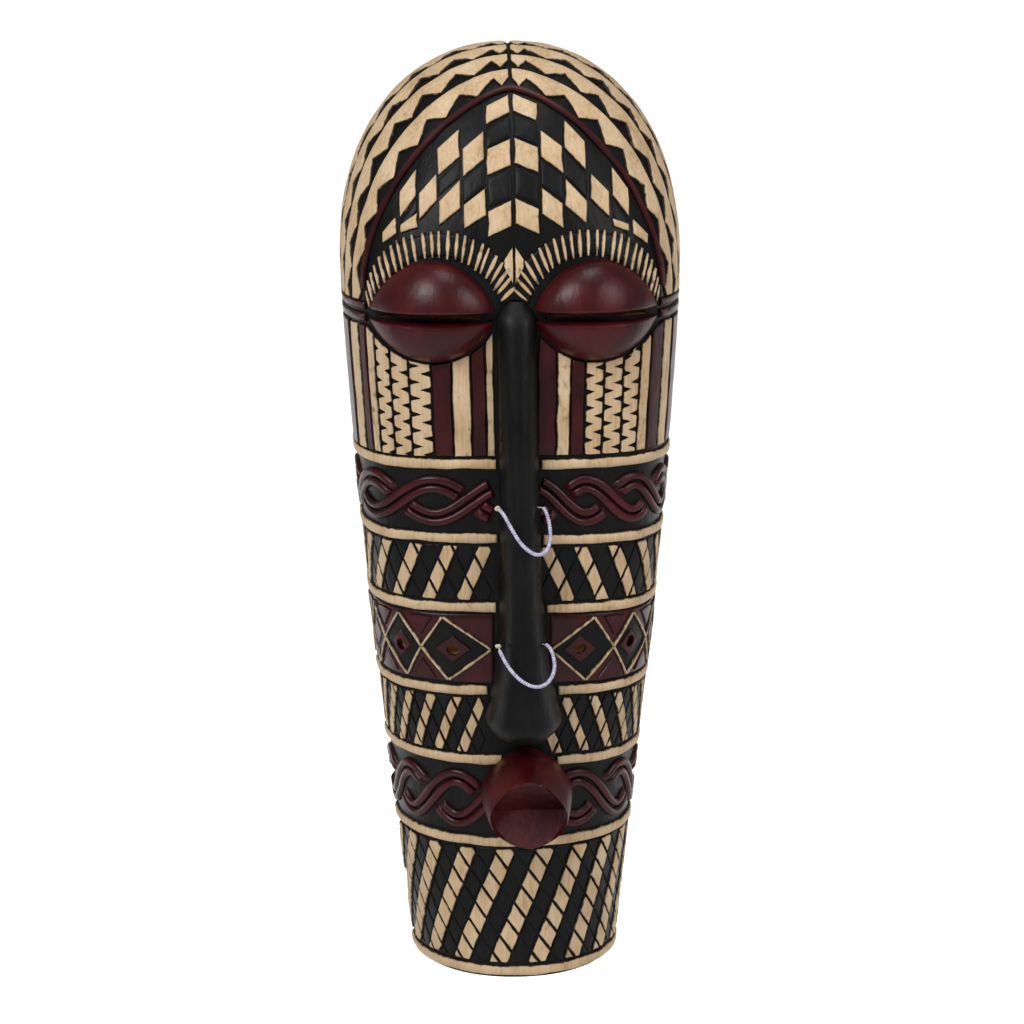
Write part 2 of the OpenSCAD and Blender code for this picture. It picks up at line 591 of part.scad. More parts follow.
hung() carved_shell();
hung() nose_ridge();
hung() mouth();
hung() crown_arch();
hung() chin_border();
for (side = [-1, 1]) let (name = side < 0 ? "left_" : "right_") {
    hung() lid(side, upper_lid_h, 1);
    hung() lid(side, lower_lid_h, -1);
    hung() brow(side);
    hung() cream_stripes(side);
    hung() maroon_stripes(side);
    hung() forehead_tiles(side);
    hung() braid(side, band_z[0], band_z[1], 15);
    hung() braid(side, band_z[4], band_z[5], 33);
    hung() lattice(side, band_z[1], band_z[2], 16);
    hung() lattice(side, band_z[3], band_z[4], 20);
    hung() diamonds(side);
}
for (i = [1 : 4]) {
    hung() crown_border(i);
}
for (i = [1 : 6]) {
    hung() ridge_band(i);
}
hung() chin_lattice();
hung() thread(strand_points(upper_route, 1));  // upper_thread
hung() beads(strand_points(upper_route, 1));  // upper_beads
hung() knot(strand_points(upper_route, 1));  // upper_knot
hung() thread(strand_points(lower_route, 3));  // lower_thread
hung() beads(strand_points(lower_route, 3));  // lower_beads
hung() knot(strand_points(lower_route, 3));  // lower_knot
hung() hanger_strap();
hung() hanger_ring();
hung() hanger_screws();
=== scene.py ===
"""The looks of the carved wooden mask: a hollow block with painted relief, two bead strands
threaded through the nose ridge and a ring hanger let into the back of the crown.

Every length in this script is in millimetres, with heights measured from the chin, until a mesh
is made: to_row() then lowers it to the row frame, whose origin is where the nail bears, in metres.
"""

import math

import bpy
import numpy as np
from mathutils import Matrix, Vector


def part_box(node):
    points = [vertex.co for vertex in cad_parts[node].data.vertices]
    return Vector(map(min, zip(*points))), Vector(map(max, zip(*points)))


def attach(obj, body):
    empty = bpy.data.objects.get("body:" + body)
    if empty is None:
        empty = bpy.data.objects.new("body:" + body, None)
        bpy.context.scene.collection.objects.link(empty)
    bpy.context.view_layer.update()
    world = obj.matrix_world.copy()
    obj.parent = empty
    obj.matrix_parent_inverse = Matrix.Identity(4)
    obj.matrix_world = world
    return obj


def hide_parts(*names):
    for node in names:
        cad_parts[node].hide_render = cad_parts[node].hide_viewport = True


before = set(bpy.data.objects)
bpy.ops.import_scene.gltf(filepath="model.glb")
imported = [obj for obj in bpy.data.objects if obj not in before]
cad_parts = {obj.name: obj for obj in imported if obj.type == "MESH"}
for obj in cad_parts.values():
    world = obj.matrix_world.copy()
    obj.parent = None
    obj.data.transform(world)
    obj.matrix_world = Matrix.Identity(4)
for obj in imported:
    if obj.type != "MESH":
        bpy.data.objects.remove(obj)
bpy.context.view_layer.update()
rng = np.random.default_rng(11)

# ---- sizes, in millimetres -------------------------------------------------------------------

shell_low, shell_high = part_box("carved_shell")
MASK_H = round((shell_high.z - shell_low.z) * 1000)
MASK_W = round((shell_high.x - shell_low.x) * 1000)
HANG_Z = -shell_low.z * 1000          # how far the row frame's origin lies above the chin
CHIN_W = 109
FACE_DEPTH = 83
CHIN_DEPTH = 68
DOME_Z = 390
WALL = 13
CROWN_SOLID = 80
SIDE_CURVE = 1.3
DOME_POWER = 2.14
DOME_DEPTH_POWER = 1.85
RELIEF = 1.7                          # how far most carved features stand out of the ground
ROOT = 1.2                            # how far their feet run into the block

EYE_Z = 366
EYE_X = 43
EYE_HALF = 33
UPPER_LID = 29
LOWER_LID = 24
LID_BULGE = 17
SLIT_H = 5.4                          # the opening between the lids
SLIT_HALF = 28
SLIT_DOWN = 1.2                       # the slot cut through the block behind it
SLIT_UP = 0.5

NOSE_TOP_HALF = 10.5
NOSE_WING_HALF = 20.5
NOSE_TOP_OUT = 10
NOSE_WING_OUT = 35
NOSE_LEAN = 3.4
WING_Z = 150
TIP_H = 13
NOSE_SINK = 6
STRAND_BORE = 2.8

MOUTH_X = 5
MOUTH_Z = 107
MOUTH_HALF = 24.5
MOUTH_RISE = 25.5
MOUTH_OUT = 38
NOTCH_DEPTH = 13

ARCH_HALF = 79.5
ARCH_TOP = MASK_H - 20
BAND_Z = (287.7, 247.2, 209.3, 163.4, 124, 77.8)
BAND_TILT = (0.9, 2.0, 1.9, 1.2, 1.8, 0.8)   # how much lower each ridge sits at the right rim
RIDGE_W = 5.4
DIAMOND_X = (33.5, 60)
DIAMOND_Z = (BAND_Z[2] + BAND_Z[3]) / 2
DIAMOND_HOLE = 6.5

BAR_Z = 448
RING_W = 18
RING_L = 15
WIRE_D = 2.4
POCKET_DEPTH = 6.2


# ---- the block's surface ---------------------------------------------------------------------

def smooth(t):
    """A soft step: c squared times (3 minus 2c), where c is t held between 0 and 1."""
    c = np.clip(t, 0, 1)
    return c * c * (3 - 2 * c)


def dome(z, power):
    """1 below the dome's foot, then a superellipse quarter falling to 0 at the crown."""
    r = np.clip((z - DOME_Z) / (MASK_H - DOME_Z), 0, 1)
    return np.maximum(0, 1 - r ** power) ** (1 / power)


def half_width(z):
    """Half the width of the outline at height z."""
    low = np.clip((DOME_Z - z) / DOME_Z, 0, None) ** SIDE_CURVE
    return (MASK_W / 2 - (MASK_W - CHIN_W) / 2 * low) * dome(z, DOME_POWER)


def depth(z):
    """How far the middle of the face stands from the wall at height z."""
    return (CHIN_DEPTH + (FACE_DEPTH - CHIN_DEPTH) * smooth((z + 20) / 350)) * dome(z, DOME_DEPTH_POWER)


def squareness(z):
    """The power of the section's superellipse at height z."""
    return 2.1 + 1.4 * smooth((z - 60) / 200) - 1.4 * smooth((z - 358) / 100)


def skin(turn, z):
    """The surface point at angle turn round the section at height z.
    0 is the right rim, a quarter turn the front. The radius is the superellipse's own:
    (|cos|^n + |sin|^n)^(-1/n), stretched by the half width and the depth."""
    turn, z = np.broadcast_arrays(np.asarray(turn, float), np.asarray(z, float))
    n = squareness(z)
    c, s = np.cos(turn), np.abs(np.sin(turn))
    r = (np.abs(c) ** n + s ** n) ** (-1 / n)
    return np.stack([half_width(z) * r * c, -depth(z) * r * s, z], -1)


def front(x, z):
    """The surface points seen at x and z from the front."""
    x, z = np.broadcast_arrays(np.asarray(x, float), np.asarray(z, float))
    n = squareness(z)
    share = np.clip(np.abs(x) / np.maximum(half_width(z), 1e-6), 0, 1)
    return np.stack([x, -depth(z) * np.maximum(0, 1 - share ** n) ** (1 / n), z], -1)


def press(p):
    """The points p moved sideways within their own section until they lie on the surface."""
    a = np.maximum(half_width(p[..., 2]), 1e-6)
    b = np.maximum(depth(p[..., 2]), 1e-6)
    return skin(np.arctan2(np.maximum(-p[..., 1], 0) / b, p[..., 0] / a), p[..., 2])


def level(p):
    """The section's own equation: 1 on the surface, more outside it."""
    n = squareness(p[..., 2])
    a = np.maximum(half_width(p[..., 2]), 1e-3)
    b = np.maximum(depth(p[..., 2]), 1e-3)
    return (np.abs(p[..., 0] / a) ** n + np.abs(p[..., 1] / b) ** n) ** (1 / n)


def outward(p):
    """Unit normals of the surface at p: the slope of level() along each axis."""
    step = 0.4
    slope = []
    for axis in np.eye(3) * step:
        slope.append(level(p + axis) - level(p - axis))
    g = np.stack(slope, -1)
    g[..., 1] = np.minimum(g[..., 1], 0)
    return g / np.maximum(np.linalg.norm(g, axis=-1, keepdims=True), 1e-9)


def arc_turn(s, z, mid):
    """The angle at a signed distance s round the section at height z, from the middle of the face.
    It is read off the section at the mid height, scaled to the half width at z."""
    turns = np.linspace(0, math.pi / 2, 160)
    q = skin(turns, np.full(160, float(mid)))
    length = np.concatenate([[0], np.cumsum(np.linalg.norm(np.diff(q[::-1], axis=0), axis=1))])
    size = half_width(np.asarray(z, float)) / half_width(float(mid))
    found = np.interp(np.abs(s) / size, length, turns[::-1])
    return np.where(np.asarray(s) >= 0, found, math.pi - found)


def half_arc(z):
    """The distance round the section from the middle of the face to the rim."""
    q = skin(np.linspace(0, math.pi / 2, 160), np.full(160, float(z)))
    return float(np.linalg.norm(np.diff(q, axis=0), axis=1).sum())


def share_turn(share, z):
    """The angle at a share of the half width."""
    p = front(share * half_width(z), z)
    return np.arctan2(-p[..., 1] / depth(z), p[..., 0] / half_width(z))


# ---- meshes ----------------------------------------------------------------------------------

def to_row(p):
    """Millimetres from the chin, to metres in the row frame."""
    return (np.asarray(p, float) - [0, 0, HANG_Z]) / 1000


def link(mesh, name):
    ob = bpy.data.objects.new(name, mesh)
    bpy.context.scene.collection.objects.link(ob)
    return ob


class Carving:
    """Collects closed sleeves and turns them into one object."""

    def __init__(self):
        self.points = []
        self.faces = []
        self.edge = []
        self.count = 0

    def sleeve(self, rings, edge=None):
        """A closed body from rings of points: quads between neighbours and a cap at each end.
        It is turned inside out when its volume comes out negative."""
        n, m = rings.shape[:2]
        i, j = np.meshgrid(np.arange(n - 1), np.arange(m), indexing="ij")
        k = (j + 1) % m
        quads = np.stack([i * m + j, i * m + k, (i + 1) * m + k, (i + 1) * m + j], -1).reshape(-1, 4)
        flat = rings.reshape(-1, 3)
        middle = flat.mean(0)
        p = flat[quads] - middle
        volume = np.einsum("ij,ij->i", p[:, 0], np.cross(p[:, 1], p[:, 2])).sum()
        volume += np.einsum("ij,ij->i", p[:, 0], np.cross(p[:, 2], p[:, 3])).sum()
        caps = [np.arange(m)[::-1], np.arange(m) + (n - 1) * m]
        if volume < 0:
            quads = quads[:, ::-1]
            caps = [c[::-1] for c in caps]
        self.faces += (quads + self.count).tolist()
        self.faces += [(c + self.count).tolist() for c in caps]
        self.points.append(flat)
        self.edge.append(np.zeros(n * m) if edge is None else np.asarray(edge, float).reshape(-1))
        self.count += n * m

    def piece(self, name, material, body="mask", angle=38, replaces=(), slot=None):
        """Makes the object: smooth shading with sharp edges above the angle, riding on its body."""
        mesh = bpy.data.meshes.new(name)
        mesh.from_pydata(to_row(np.concatenate(self.points)).tolist(), [], self.faces)
        attribute = mesh.attributes.new("edge", "FLOAT", "POINT")
        attribute.data.foreach_set("value", np.concatenate(self.edge).astype(np.float32))
        mesh.materials.append(material)
        mesh.shade_smooth()
        mesh.set_sharp_from_angle(angle=math.radians(angle))
        return settle(link(mesh, name), body, replaces)


def settle(ob, body, replaces):
    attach(ob, body)
    if replaces:
        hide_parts(*replaces)
    return ob


def nodes_between(length, bevel, step, keep=()):
    """Shares of a length: both ends, two rows close to each for the rounded edge, and even steps."""
    ends = np.array([0, 0.35, 1.0]) * min(bevel, length / 3) / length
    inner = np.linspace(ends[-1], 1 - ends[-1], max(2, int(length / step) + 1))
    kept = [k for k in keep if ends[-1] < k < 1 - ends[-1]]
    shares = np.unique(np.round(np.concatenate([ends, inner, 1 - ends, kept]), 6))
    return shares[np.concatenate([[True], np.diff(shares) > 1e-4])]


def waver(share, length, amount, pitch=9):
    """A smooth hand-made wander along a line: random heights every pitch, joined."""
    knots = max(3, int(length / pitch) + 2)
    return np.interp(share, np.linspace(0, 1, knots), rng.normal(0, amount, knots))


def ribbon(made, a, b, rise=RELIEF, bevel=0.8, step=2.0, bulge=0.0, lift=None, wander=0.16, foot=ROOT):
    """A raised feature between two edge lines of surface points, given row by row.
    Each row runs straight from a to b and is pressed onto the surface, then stands out along the
    normal by rise, less near every edge, where it is rounded by the bevel. bulge makes it
    domed across: rise times (1 - bulge * v^2), with v from -1 to 1. lift scales it row by row."""
    a, b = np.asarray(a, float), np.asarray(b, float)
    gaps = np.linalg.norm(np.diff((a + b) / 2, axis=0), axis=1)
    length = gaps.sum()
    along = np.concatenate([[0], np.cumsum(gaps)]) / length
    u = nodes_between(length, bevel, step, along)
    rows_a = np.stack([np.interp(u, along, a[:, k]) for k in range(3)], -1)
    rows_b = np.stack([np.interp(u, along, b[:, k]) for k in range(3)], -1)
    across = np.linalg.norm(rows_b - rows_a, axis=1)
    width = max(across.mean(), 0.6)
    side = (rows_b - rows_a) / np.maximum(across, 1e-6)[:, None]
    shift = np.minimum(wander, width * 0.08)
    rows_a = rows_a + side * waver(u, length, shift)[:, None]
    rows_b = rows_b + side * waver(u, length, shift)[:, None]
    v = nodes_between(width, bevel, step)
    p = press(rows_a[:, None] * (1 - v)[None, :, None] + rows_b[:, None] * v[None, :, None])
    n = outward(p)
    in_u = np.minimum(u, 1 - u) * length
    in_v = np.minimum(v, 1 - v)[None, :] * np.maximum(across, 0.2)[:, None]
    inside = np.minimum(in_u[:, None], in_v)
    soft = min(bevel, width / 3)
    h = rise * (1 - 0.55 * np.clip(1 - inside / soft, 0, 1) ** 2)
    h = h * (1 - bulge * (2 * v - 1) ** 2)[None, :]
    h = h * (1 + waver(u, length, 0.05))[:, None]
    if lift is not None:
        h = h * np.interp(u, along, lift)[:, None]
    top = p + n * h[..., None]
    low_a = p[:, :1] - n[:, :1] * foot
    low_b = p[:, -1:] - n[:, -1:] * foot
    near = np.clip(1 - inside / 1.1, 0, 1)
    ones = np.ones((len(u), 1))
    made.sleeve(np.concatenate([low_a, top, low_b], 1), np.concatenate([ones, near, ones], 1))


def line(points, width, count=None):
    """Two edge lines width apart along a list of (x, z) places seen from the front."""
    q = np.asarray(points, float)
    if count:
        gaps = np.concatenate([[0], np.cumsum(np.linalg.norm(np.diff(q, axis=0), axis=1))])
        even = np.linspace(0, gaps[-1], count)
        q = np.stack([np.interp(even, gaps, q[:, k]) for k in range(2)], -1)
    p = front(q[:, 0], q[:, 1])
    return beside(p, width)


def beside(p, width):
    """Two edge lines width apart along a line of surface points."""
    d = np.gradient(p, axis=0)
    side = np.cross(outward(p), d)
    side = side / np.linalg.norm(side, axis=1, keepdims=True) * np.reshape(width, (-1, 1)) / 2
    return press(p - side), press(p + side)


def tile(made, corners, rise=RELIEF, **how):
    """A four-cornered tile: corners are (x, z) places, the first two on one side edge."""
    c = [front(*q) for q in corners]
    ribbon(made, [c[0], c[1]], [c[3], c[2]], rise, **how)


def tube(made, path, radius, sides=12):
    """A round tube along a path: each ring is turned as little as possible from the last."""
    path = np.asarray(path, float)
    d = np.gradient(path, axis=0)
    d = d / np.linalg.norm(d, axis=1, keepdims=True)
    ref = np.cross(d[0], [0.13, -0.9, 0.4])
    turn = np.linspace(0, 2 * math.pi, sides, endpoint=False)
    rings = []
    for p, t in zip(path, d):
        ref = ref - t * np.dot(ref, t)
        ref = ref / np.linalg.norm(ref)
        other = np.cross(t, ref)
        rings.append(p + radius * (np.outer(np.cos(turn), ref) + np.outer(np.sin(turn), other)))
    made.sleeve(np.array(rings))


def revolve(made, centre, axis, profile, sides=10):
    """A turned body: profile holds (distance along the axis, radius) from one end to the other."""
    axis = np.asarray(axis, float) / np.linalg.norm(axis)
    ref = np.cross(axis, [0.3, -0.8, 0.52])
    ref = ref / np.linalg.norm(ref)
    other = np.cross(axis, ref)
    turn = np.linspace(0, 2 * math.pi, sides, endpoint=False)
    ring = np.outer(np.cos(turn), ref) + np.outer(np.sin(turn), other)
    made.sleeve(np.array([centre + axis * h + ring * r for h, r in profile]))


def cut(target, cutter):
    """Takes the cutter's solid out of the target and bakes the result into its mesh."""
    m = target.modifiers.new("cut", "BOOLEAN")
    m.operation = "DIFFERENCE"
    m.solver = "EXACT"
    m.object = cutter
    depsgraph = bpy.context.evaluated_depsgraph_get()
    mesh = bpy.data.meshes.new_from_object(target.evaluated_get(depsgraph))
    target.modifiers.clear()
    target.data = mesh


# ---- materials -------------------------------------------------------------------------------

def linear(code):
    """An sRGB hex colour as linear RGBA."""
    c = np.array([int(code[i:i + 2], 16) for i in (1, 3, 5)]) / 255
    c = np.where(c <= 0.04045, c / 12.92, ((c + 0.055) / 1.055) ** 2.4)
    return (*c.tolist(), 1.0)


def add(tree, kind, inputs=None, **settings):
    """One shader node: settings are its properties, inputs its values or the sockets wired in."""
    node = tree.nodes.new(kind)
    for key, value in settings.items():
        setattr(node, key, value)
    for key, value in (inputs or {}).items():
        if isinstance(value, bpy.types.NodeSocket):
            tree.links.new(value, node.inputs[key])
        else:
            node.inputs[key].default_value = value
    return node


def ramp(tree, value, stops):
    """A colour ramp through (place, hex colour) stops."""
    node = add(tree, "ShaderNodeValToRGB", {"Fac": value})
    band = node.color_ramp
    while len(band.elements) < len(stops):
        band.elements.new(0.5)
    for element, (place, code) in zip(band.elements, stops):
        element.position = place
        element.color = linear(code)
    return node.outputs["Color"]


def grain(tree, size, stretch=1.0, detail=4.0, axis=2):
    """Noise of a size in millimetres, drawn out along one axis. Returns its 0 to 1 value."""
    place = add(tree, "ShaderNodeTexCoord")
    scale = [1000 / size] * 3
    scale[axis] /= stretch
    moved = add(tree, "ShaderNodeMapping", {"Vector": place.outputs["Object"], "Scale": scale})
    noise = add(tree, "ShaderNodeTexNoise",
                {"Vector": moved.outputs["Vector"], "Scale": 1.0, "Detail": detail})
    return noise.outputs["Fac"]


def blend(tree, share, a, b, mode="MIX"):
    """Colour a turned into b by share."""
    node = add(tree, "ShaderNodeMix", data_type="RGBA", blend_type=mode)
    for key, value in ((0, share), (6, a), (7, b)):
        if isinstance(value, bpy.types.NodeSocket):
            tree.links.new(value, node.inputs[key])
        else:
            node.inputs[key].default_value = value
    return node.outputs[2]


def calc(tree, operation, a, b=0.0, clamp=False):
    """One sum on two values or sockets."""
    node = add(tree, "ShaderNodeMath", {0: a, 1: b}, operation=operation)
    node.use_clamp = clamp
    return node.outputs[0]


def surface(name):
    """A new material: its tree and its Principled node."""
    material = bpy.data.materials.new(name)
    material.use_nodes = True
    return material, material.node_tree, material.node_tree.nodes["Principled BSDF"]


def dent(tree, shader, height, depth_mm):
    """Bumps the shader's surface by a 0 to 1 height of that many millimetres."""
    bump = add(tree, "ShaderNodeBump", {"Height": height, "Distance": depth_mm / 1000, "Strength": 1.0})
    tree.links.new(bump.outputs["Normal"], shader.inputs["Normal"])


def paint_black():
    """Black paint brushed on carved wood: near black with a soft satin sheen, broken by knife
    marks and the grain beneath, a little greyer where hands and dust have dulled it."""
    material, tree, shader = surface("brushed_black_paint")
    dust = grain(tree, 26, 1.6, 5)
    fine = grain(tree, 1.6, 9, 3)
    tone = calc(tree, "ADD", calc(tree, "MULTIPLY", dust, 0.75), calc(tree, "MULTIPLY", fine, 0.25))
    colour = ramp(tree, tone, [(0.36, "#070808"), (0.52, "#0C0D0D"), (0.68, "#191A1A")])
    tree.links.new(colour, shader.inputs["Base Color"])
    tree.links.new(calc(tree, "ADD", calc(tree, "MULTIPLY", dust, 0.3), 0.3), shader.inputs["Roughness"])
    shader.inputs["Specular IOR Level"].default_value = 0.22
    facets = grain(tree, 5, 2.2, 2)
    height = calc(tree, "ADD", calc(tree, "MULTIPLY", facets, 0.8), calc(tree, "MULTIPLY", fine, 0.2))
    dent(tree, shader, height, 0.55)
    return material


def paint_maroon():
    """Maroon paint rubbed to a satin gloss on smooth carved wood: deep red brown, with painted
    shade that darkens it towards every edge, where the relief meets the ground, and soft broad highlights."""
    material, tree, shader = surface("rubbed_maroon_paint")
    broad = grain(tree, 18, 1.5, 4)
    fine = grain(tree, 1.8, 7, 3)
    colour = ramp(tree, broad, [(0.3, "#300609"), (0.5, "#40090C"), (0.72, "#521013")])
    edge = add(tree, "ShaderNodeAttribute", attribute_name="edge").outputs["Fac"]
    # painted shade: the colour darkens towards each edge and foot of the maroon relief, where it meets the
    # ground
    colour = blend(tree, calc(tree, "MULTIPLY", edge, 0.75), colour, linear("#140607"))
    tree.links.new(colour, shader.inputs["Base Color"])
    shader.inputs["Specular IOR Level"].default_value = 0.34
    tree.links.new(calc(tree, "ADD", calc(tree, "MULTIPLY", broad, 0.24), 0.24), shader.inputs["Roughness"])
    height = calc(tree, "ADD", calc(tree, "MULTIPLY", grain(tree, 4, 2, 2), 0.7),
                  calc(tree, "MULTIPLY", fine, 0.3))
    dent(tree, shader, height, 0.3)
    return material


def paint_cream():
    """Thin cream paint on planed wood: warm, streaked along the grain, with brown scuffs and a
    dark, ragged border where the black ground laps over its edges."""
    material, tree, shader = surface("thin_cream_paint")
    streak = grain(tree, 1.5, 12, 4)
    cloud = grain(tree, 15, 1.3, 5)
    speck = grain(tree, 3.2, 1.4, 3)
    tone = calc(tree, "ADD", calc(tree, "MULTIPLY", streak, 0.45), calc(tree, "MULTIPLY", cloud, 0.55))
    colour = ramp(tree, tone, [(0.3, "#B08E68"), (0.45, "#CFB088"), (0.58, "#DCC09B"), (0.75, "#E8D3B3")])
    scuff = calc(tree, "MULTIPLY", calc(tree, "SUBTRACT", speck, 0.62, True), 3.2, True)
    colour = blend(tree, scuff, colour, linear("#8A6A42"))
    edge = add(tree, "ShaderNodeAttribute", attribute_name="edge").outputs["Fac"]
    ragged = calc(tree, "ADD", edge, calc(tree, "SUBTRACT", speck, 0.5))
    border = calc(tree, "MULTIPLY", calc(tree, "SUBTRACT", ragged, 0.5, True), 2.6, True)
    colour = blend(tree, border, colour, linear("#2A211A"))
    tree.links.new(colour, shader.inputs["Base Color"])
    tree.links.new(calc(tree, "ADD", calc(tree, "MULTIPLY", cloud, 0.3), 0.42), shader.inputs["Roughness"])
    shader.inputs["Specular IOR Level"].default_value = 0.35
    height = calc(tree, "ADD", calc(tree, "MULTIPLY", streak, 0.6), calc(tree, "MULTIPLY", speck, 0.4))
    dent(tree, shader, height, 0.22)
    return material


def bare_wood():
    """Bare pale hardwood hollowed with a gouge: dry, matt, with long brown grain lines."""
    material, tree, shader = surface("gouged_bare_wood")
    line_grain = grain(tree, 2.4, 16, 5)
    cloud = grain(tree, 40, 2, 3)
    tone = calc(tree, "ADD", calc(tree, "MULTIPLY", line_grain, 0.6), calc(tree, "MULTIPLY", cloud, 0.4))
    colour = ramp(tree, tone, [(0.32, "#8A6238"), (0.5, "#B58C58"), (0.7, "#CDAA78")])
    tree.links.new(colour, shader.inputs["Base Color"])
    shader.inputs["Roughness"].default_value = 0.78
    shader.inputs["Specular IOR Level"].default_value = 0.25
    dent(tree, shader, line_grain, 0.35)
    return material


def cotton():
    """Undyed cotton thread, twisted and knotted: cream, matt and faintly fuzzy."""
    material, tree, shader = surface("twisted_cotton")
    shader.inputs["Base Color"].default_value = linear("#DCD2BC")
    shader.inputs["Roughness"].default_value = 0.9
    shader.inputs["Sheen Weight"].default_value = 0.35
    dent(tree, shader, grain(tree, 0.5, 1, 2), 0.08)
    return material


def bead_glass():
    """Opaque lustred seed-bead glass: pale lilac, bright small highlights."""
    material, tree, shader = surface("lustred_glass")
    colour = ramp(tree, grain(tree, 2.2, 1, 1), [(0.35, "#B4AFCF"), (0.6, "#D6D3EA")])
    tree.links.new(colour, shader.inputs["Base Color"])
    shader.inputs["Roughness"].default_value = 0.2
    shader.inputs["Coat Weight"].default_value = 0.5
    return material


def plated_steel():
    """Bright zinc-plated steel wire and strip: grey metal, brushed and slightly dulled."""
    material, tree, shader = surface("zinc_plated_steel")
    mottle = grain(tree, 3, 1, 4)
    tree.links.new(ramp(tree, mottle, [(0.35, "#9FA1A4"), (0.65, "#C6C7C9")]), shader.inputs["Base Color"])
    shader.inputs["Metallic"].default_value = 1.0
    rough = calc(tree, "ADD", calc(tree, "MULTIPLY", mottle, 0.25), 0.25)
    tree.links.new(rough, shader.inputs["Roughness"])
    return material


BLACK = paint_black()
MAROON = paint_maroon()
CREAM = paint_cream()
WOOD = bare_wood()
COTTON = cotton()
GLASS = bead_glass()
STEEL = plated_steel()


# ---- camera ----------------------------------------------------------------------------------

CAMERA_TARGET = (-0.8, -44, 253.5)
CAMERA_DISTANCE = 2107
CAMERA_ELEVATION = 12.2
CAMERA_AZIMUTH = -1.8
CAMERA_ROLL = -0.42
CAMERA_LENS = 138.3


def make_camera():
    """A long lens in front of the face, a little above it, aimed at the middle of the block."""
    az, el = math.radians(CAMERA_AZIMUTH), math.radians(CAMERA_ELEVATION)
    away = Vector((math.sin(az) * math.cos(el), -math.cos(az) * math.cos(el), math.sin(el)))
    target = Vector(to_row(CAMERA_TARGET))
    turn = away.to_track_quat("Z", "Y").to_matrix()
    turn = turn @ Matrix.Rotation(math.radians(CAMERA_ROLL), 3, "Z")
    data = bpy.data.cameras.new("camera")
    data.lens = CAMERA_LENS
    data.sensor_width = 36
    ob = bpy.data.objects.new("camera", data)
    bpy.context.scene.collection.objects.link(ob)
    ob.matrix_world = Matrix.Translation(target + away * CAMERA_DISTANCE / 1000) @ turn.to_4x4()
    bpy.context.scene.camera = ob


make_camera()


# ---- nose shape, which the strands follow ----------------------------------------------------

NOSE_POWER = 2.2                      # how square the nose's section is: 2 is an ellipse
NOSE_FLARE = 6                        # how late it widens: 1 is a plain wedge


def nose_fall(z):
    """How far down the nose z lies: 0 at the eyes, 1 at the wings."""
    return np.clip((EYE_Z - z) / (EYE_Z - WING_Z), 0, 1)


def nose_tip(z):
    """1 above the wings, then a quarter ellipse down to the underside."""
    return np.where(z >= WING_Z, 1, np.sqrt(np.maximum(0, 1 - ((WING_Z - z) / TIP_H) ** 2)))


def nose_fade(z):
    """The nose thins out between the brows, above the eyes."""
    return np.where(z > EYE_Z, 1 - 0.6 * (z - EYE_Z) / 8, 1)


def nose_half(z):
    """Half the nose's width: slim most of the way down, then flaring into the wings."""
    flare = (NOSE_WING_HALF - NOSE_TOP_HALF) * nose_fall(z) ** NOSE_FLARE
    return (NOSE_TOP_HALF + flare) * nose_tip(z) * nose_fade(z)


def nose_out(z):
    """How far the nose stands out of the face."""
    out = NOSE_TOP_OUT + (NOSE_WING_OUT - NOSE_TOP_OUT) * nose_fall(z) ** 0.75
    return out * (0.25 + 0.75 * nose_tip(z)) * nose_fade(z)


def nose_x(z):
    """Where the middle of the leaning nose lies across the face."""
    return NOSE_LEAN * (0.25 + 0.75 * nose_fall(z))


BORE_Z = np.array([303.2, 266.8, 230.4, 194.0])
BORE_OPENS = np.array([9.2, 9.2, 9.4, 10.3])   # where each bore opens, from the nose's middle
BORE_Y = -depth(BORE_Z) - nose_out(BORE_Z) * (
    1 - (BORE_OPENS / nose_half(BORE_Z)) ** NOSE_POWER) ** (1 / NOSE_POWER)


# ---- bead strands ----------------------------------------------------------------------------

THREAD_D = 0.6
BEAD_D = 2.2
BEAD_PITCH = 1.35
KNOT_D = 3.6
# Each route runs from inside the right mouth of its bore, down round the front of the nose, to the
# left mouth: sideways from the nose's middle, forward of the bore, below the bore.
UPPER_ROUTE = ((7, 0, 0), (10, 0, 0), (12, 0.4, 0.5), (13.3, 1, 2.4), (14.3, 1.9, 5.4), (15, 3, 9),
               (15.4, 4.3, 12.6), (15.2, 5.8, 16), (14.4, 7.5, 19), (12.9, 9.2, 21.3), (10.8, 11, 22.6),
               (8.3, 12.6, 22.6), (5.6, 13.9, 21.4), (3, 14.8, 19.4), (0.5, 15.1, 16.9), (-1.8, 14.8, 13.9),
               (-3.9, 13.9, 10.6), (-5.8, 12.5, 7.3), (-7.5, 10.7, 4.3), (-9.1, 8.4, 1.9), (-10.6, 5.7, 0.4),
               (-12, 2.8, -0.2))
LOWER_ROUTE = ((7, 0, 0), (10.4, 0, 0), (12.6, 1, 0.5), (14.2, 2.1, 2.2), (15.3, 3.3, 4.8), (16, 4.7, 7.7),
               (16.1, 6.2, 10.7), (15.5, 7.8, 13.5), (14.2, 9.4, 16), (12.3, 11, 18), (9.9, 12.3, 19.2),
               (7.1, 13.4, 19.6), (4.2, 14.1, 19.1), (1.4, 14.4, 17.9), (-1.4, 14.3, 16.1), (-4, 13.7, 13.9),
               (-6.5, 12.5, 11.3), (-8.7, 10.9, 8.4), (-10.5, 9, 5.6), (-11.9, 7, 3), (-12.8, 5.2, 1),
               (-13.3, 3.8, -0.2))


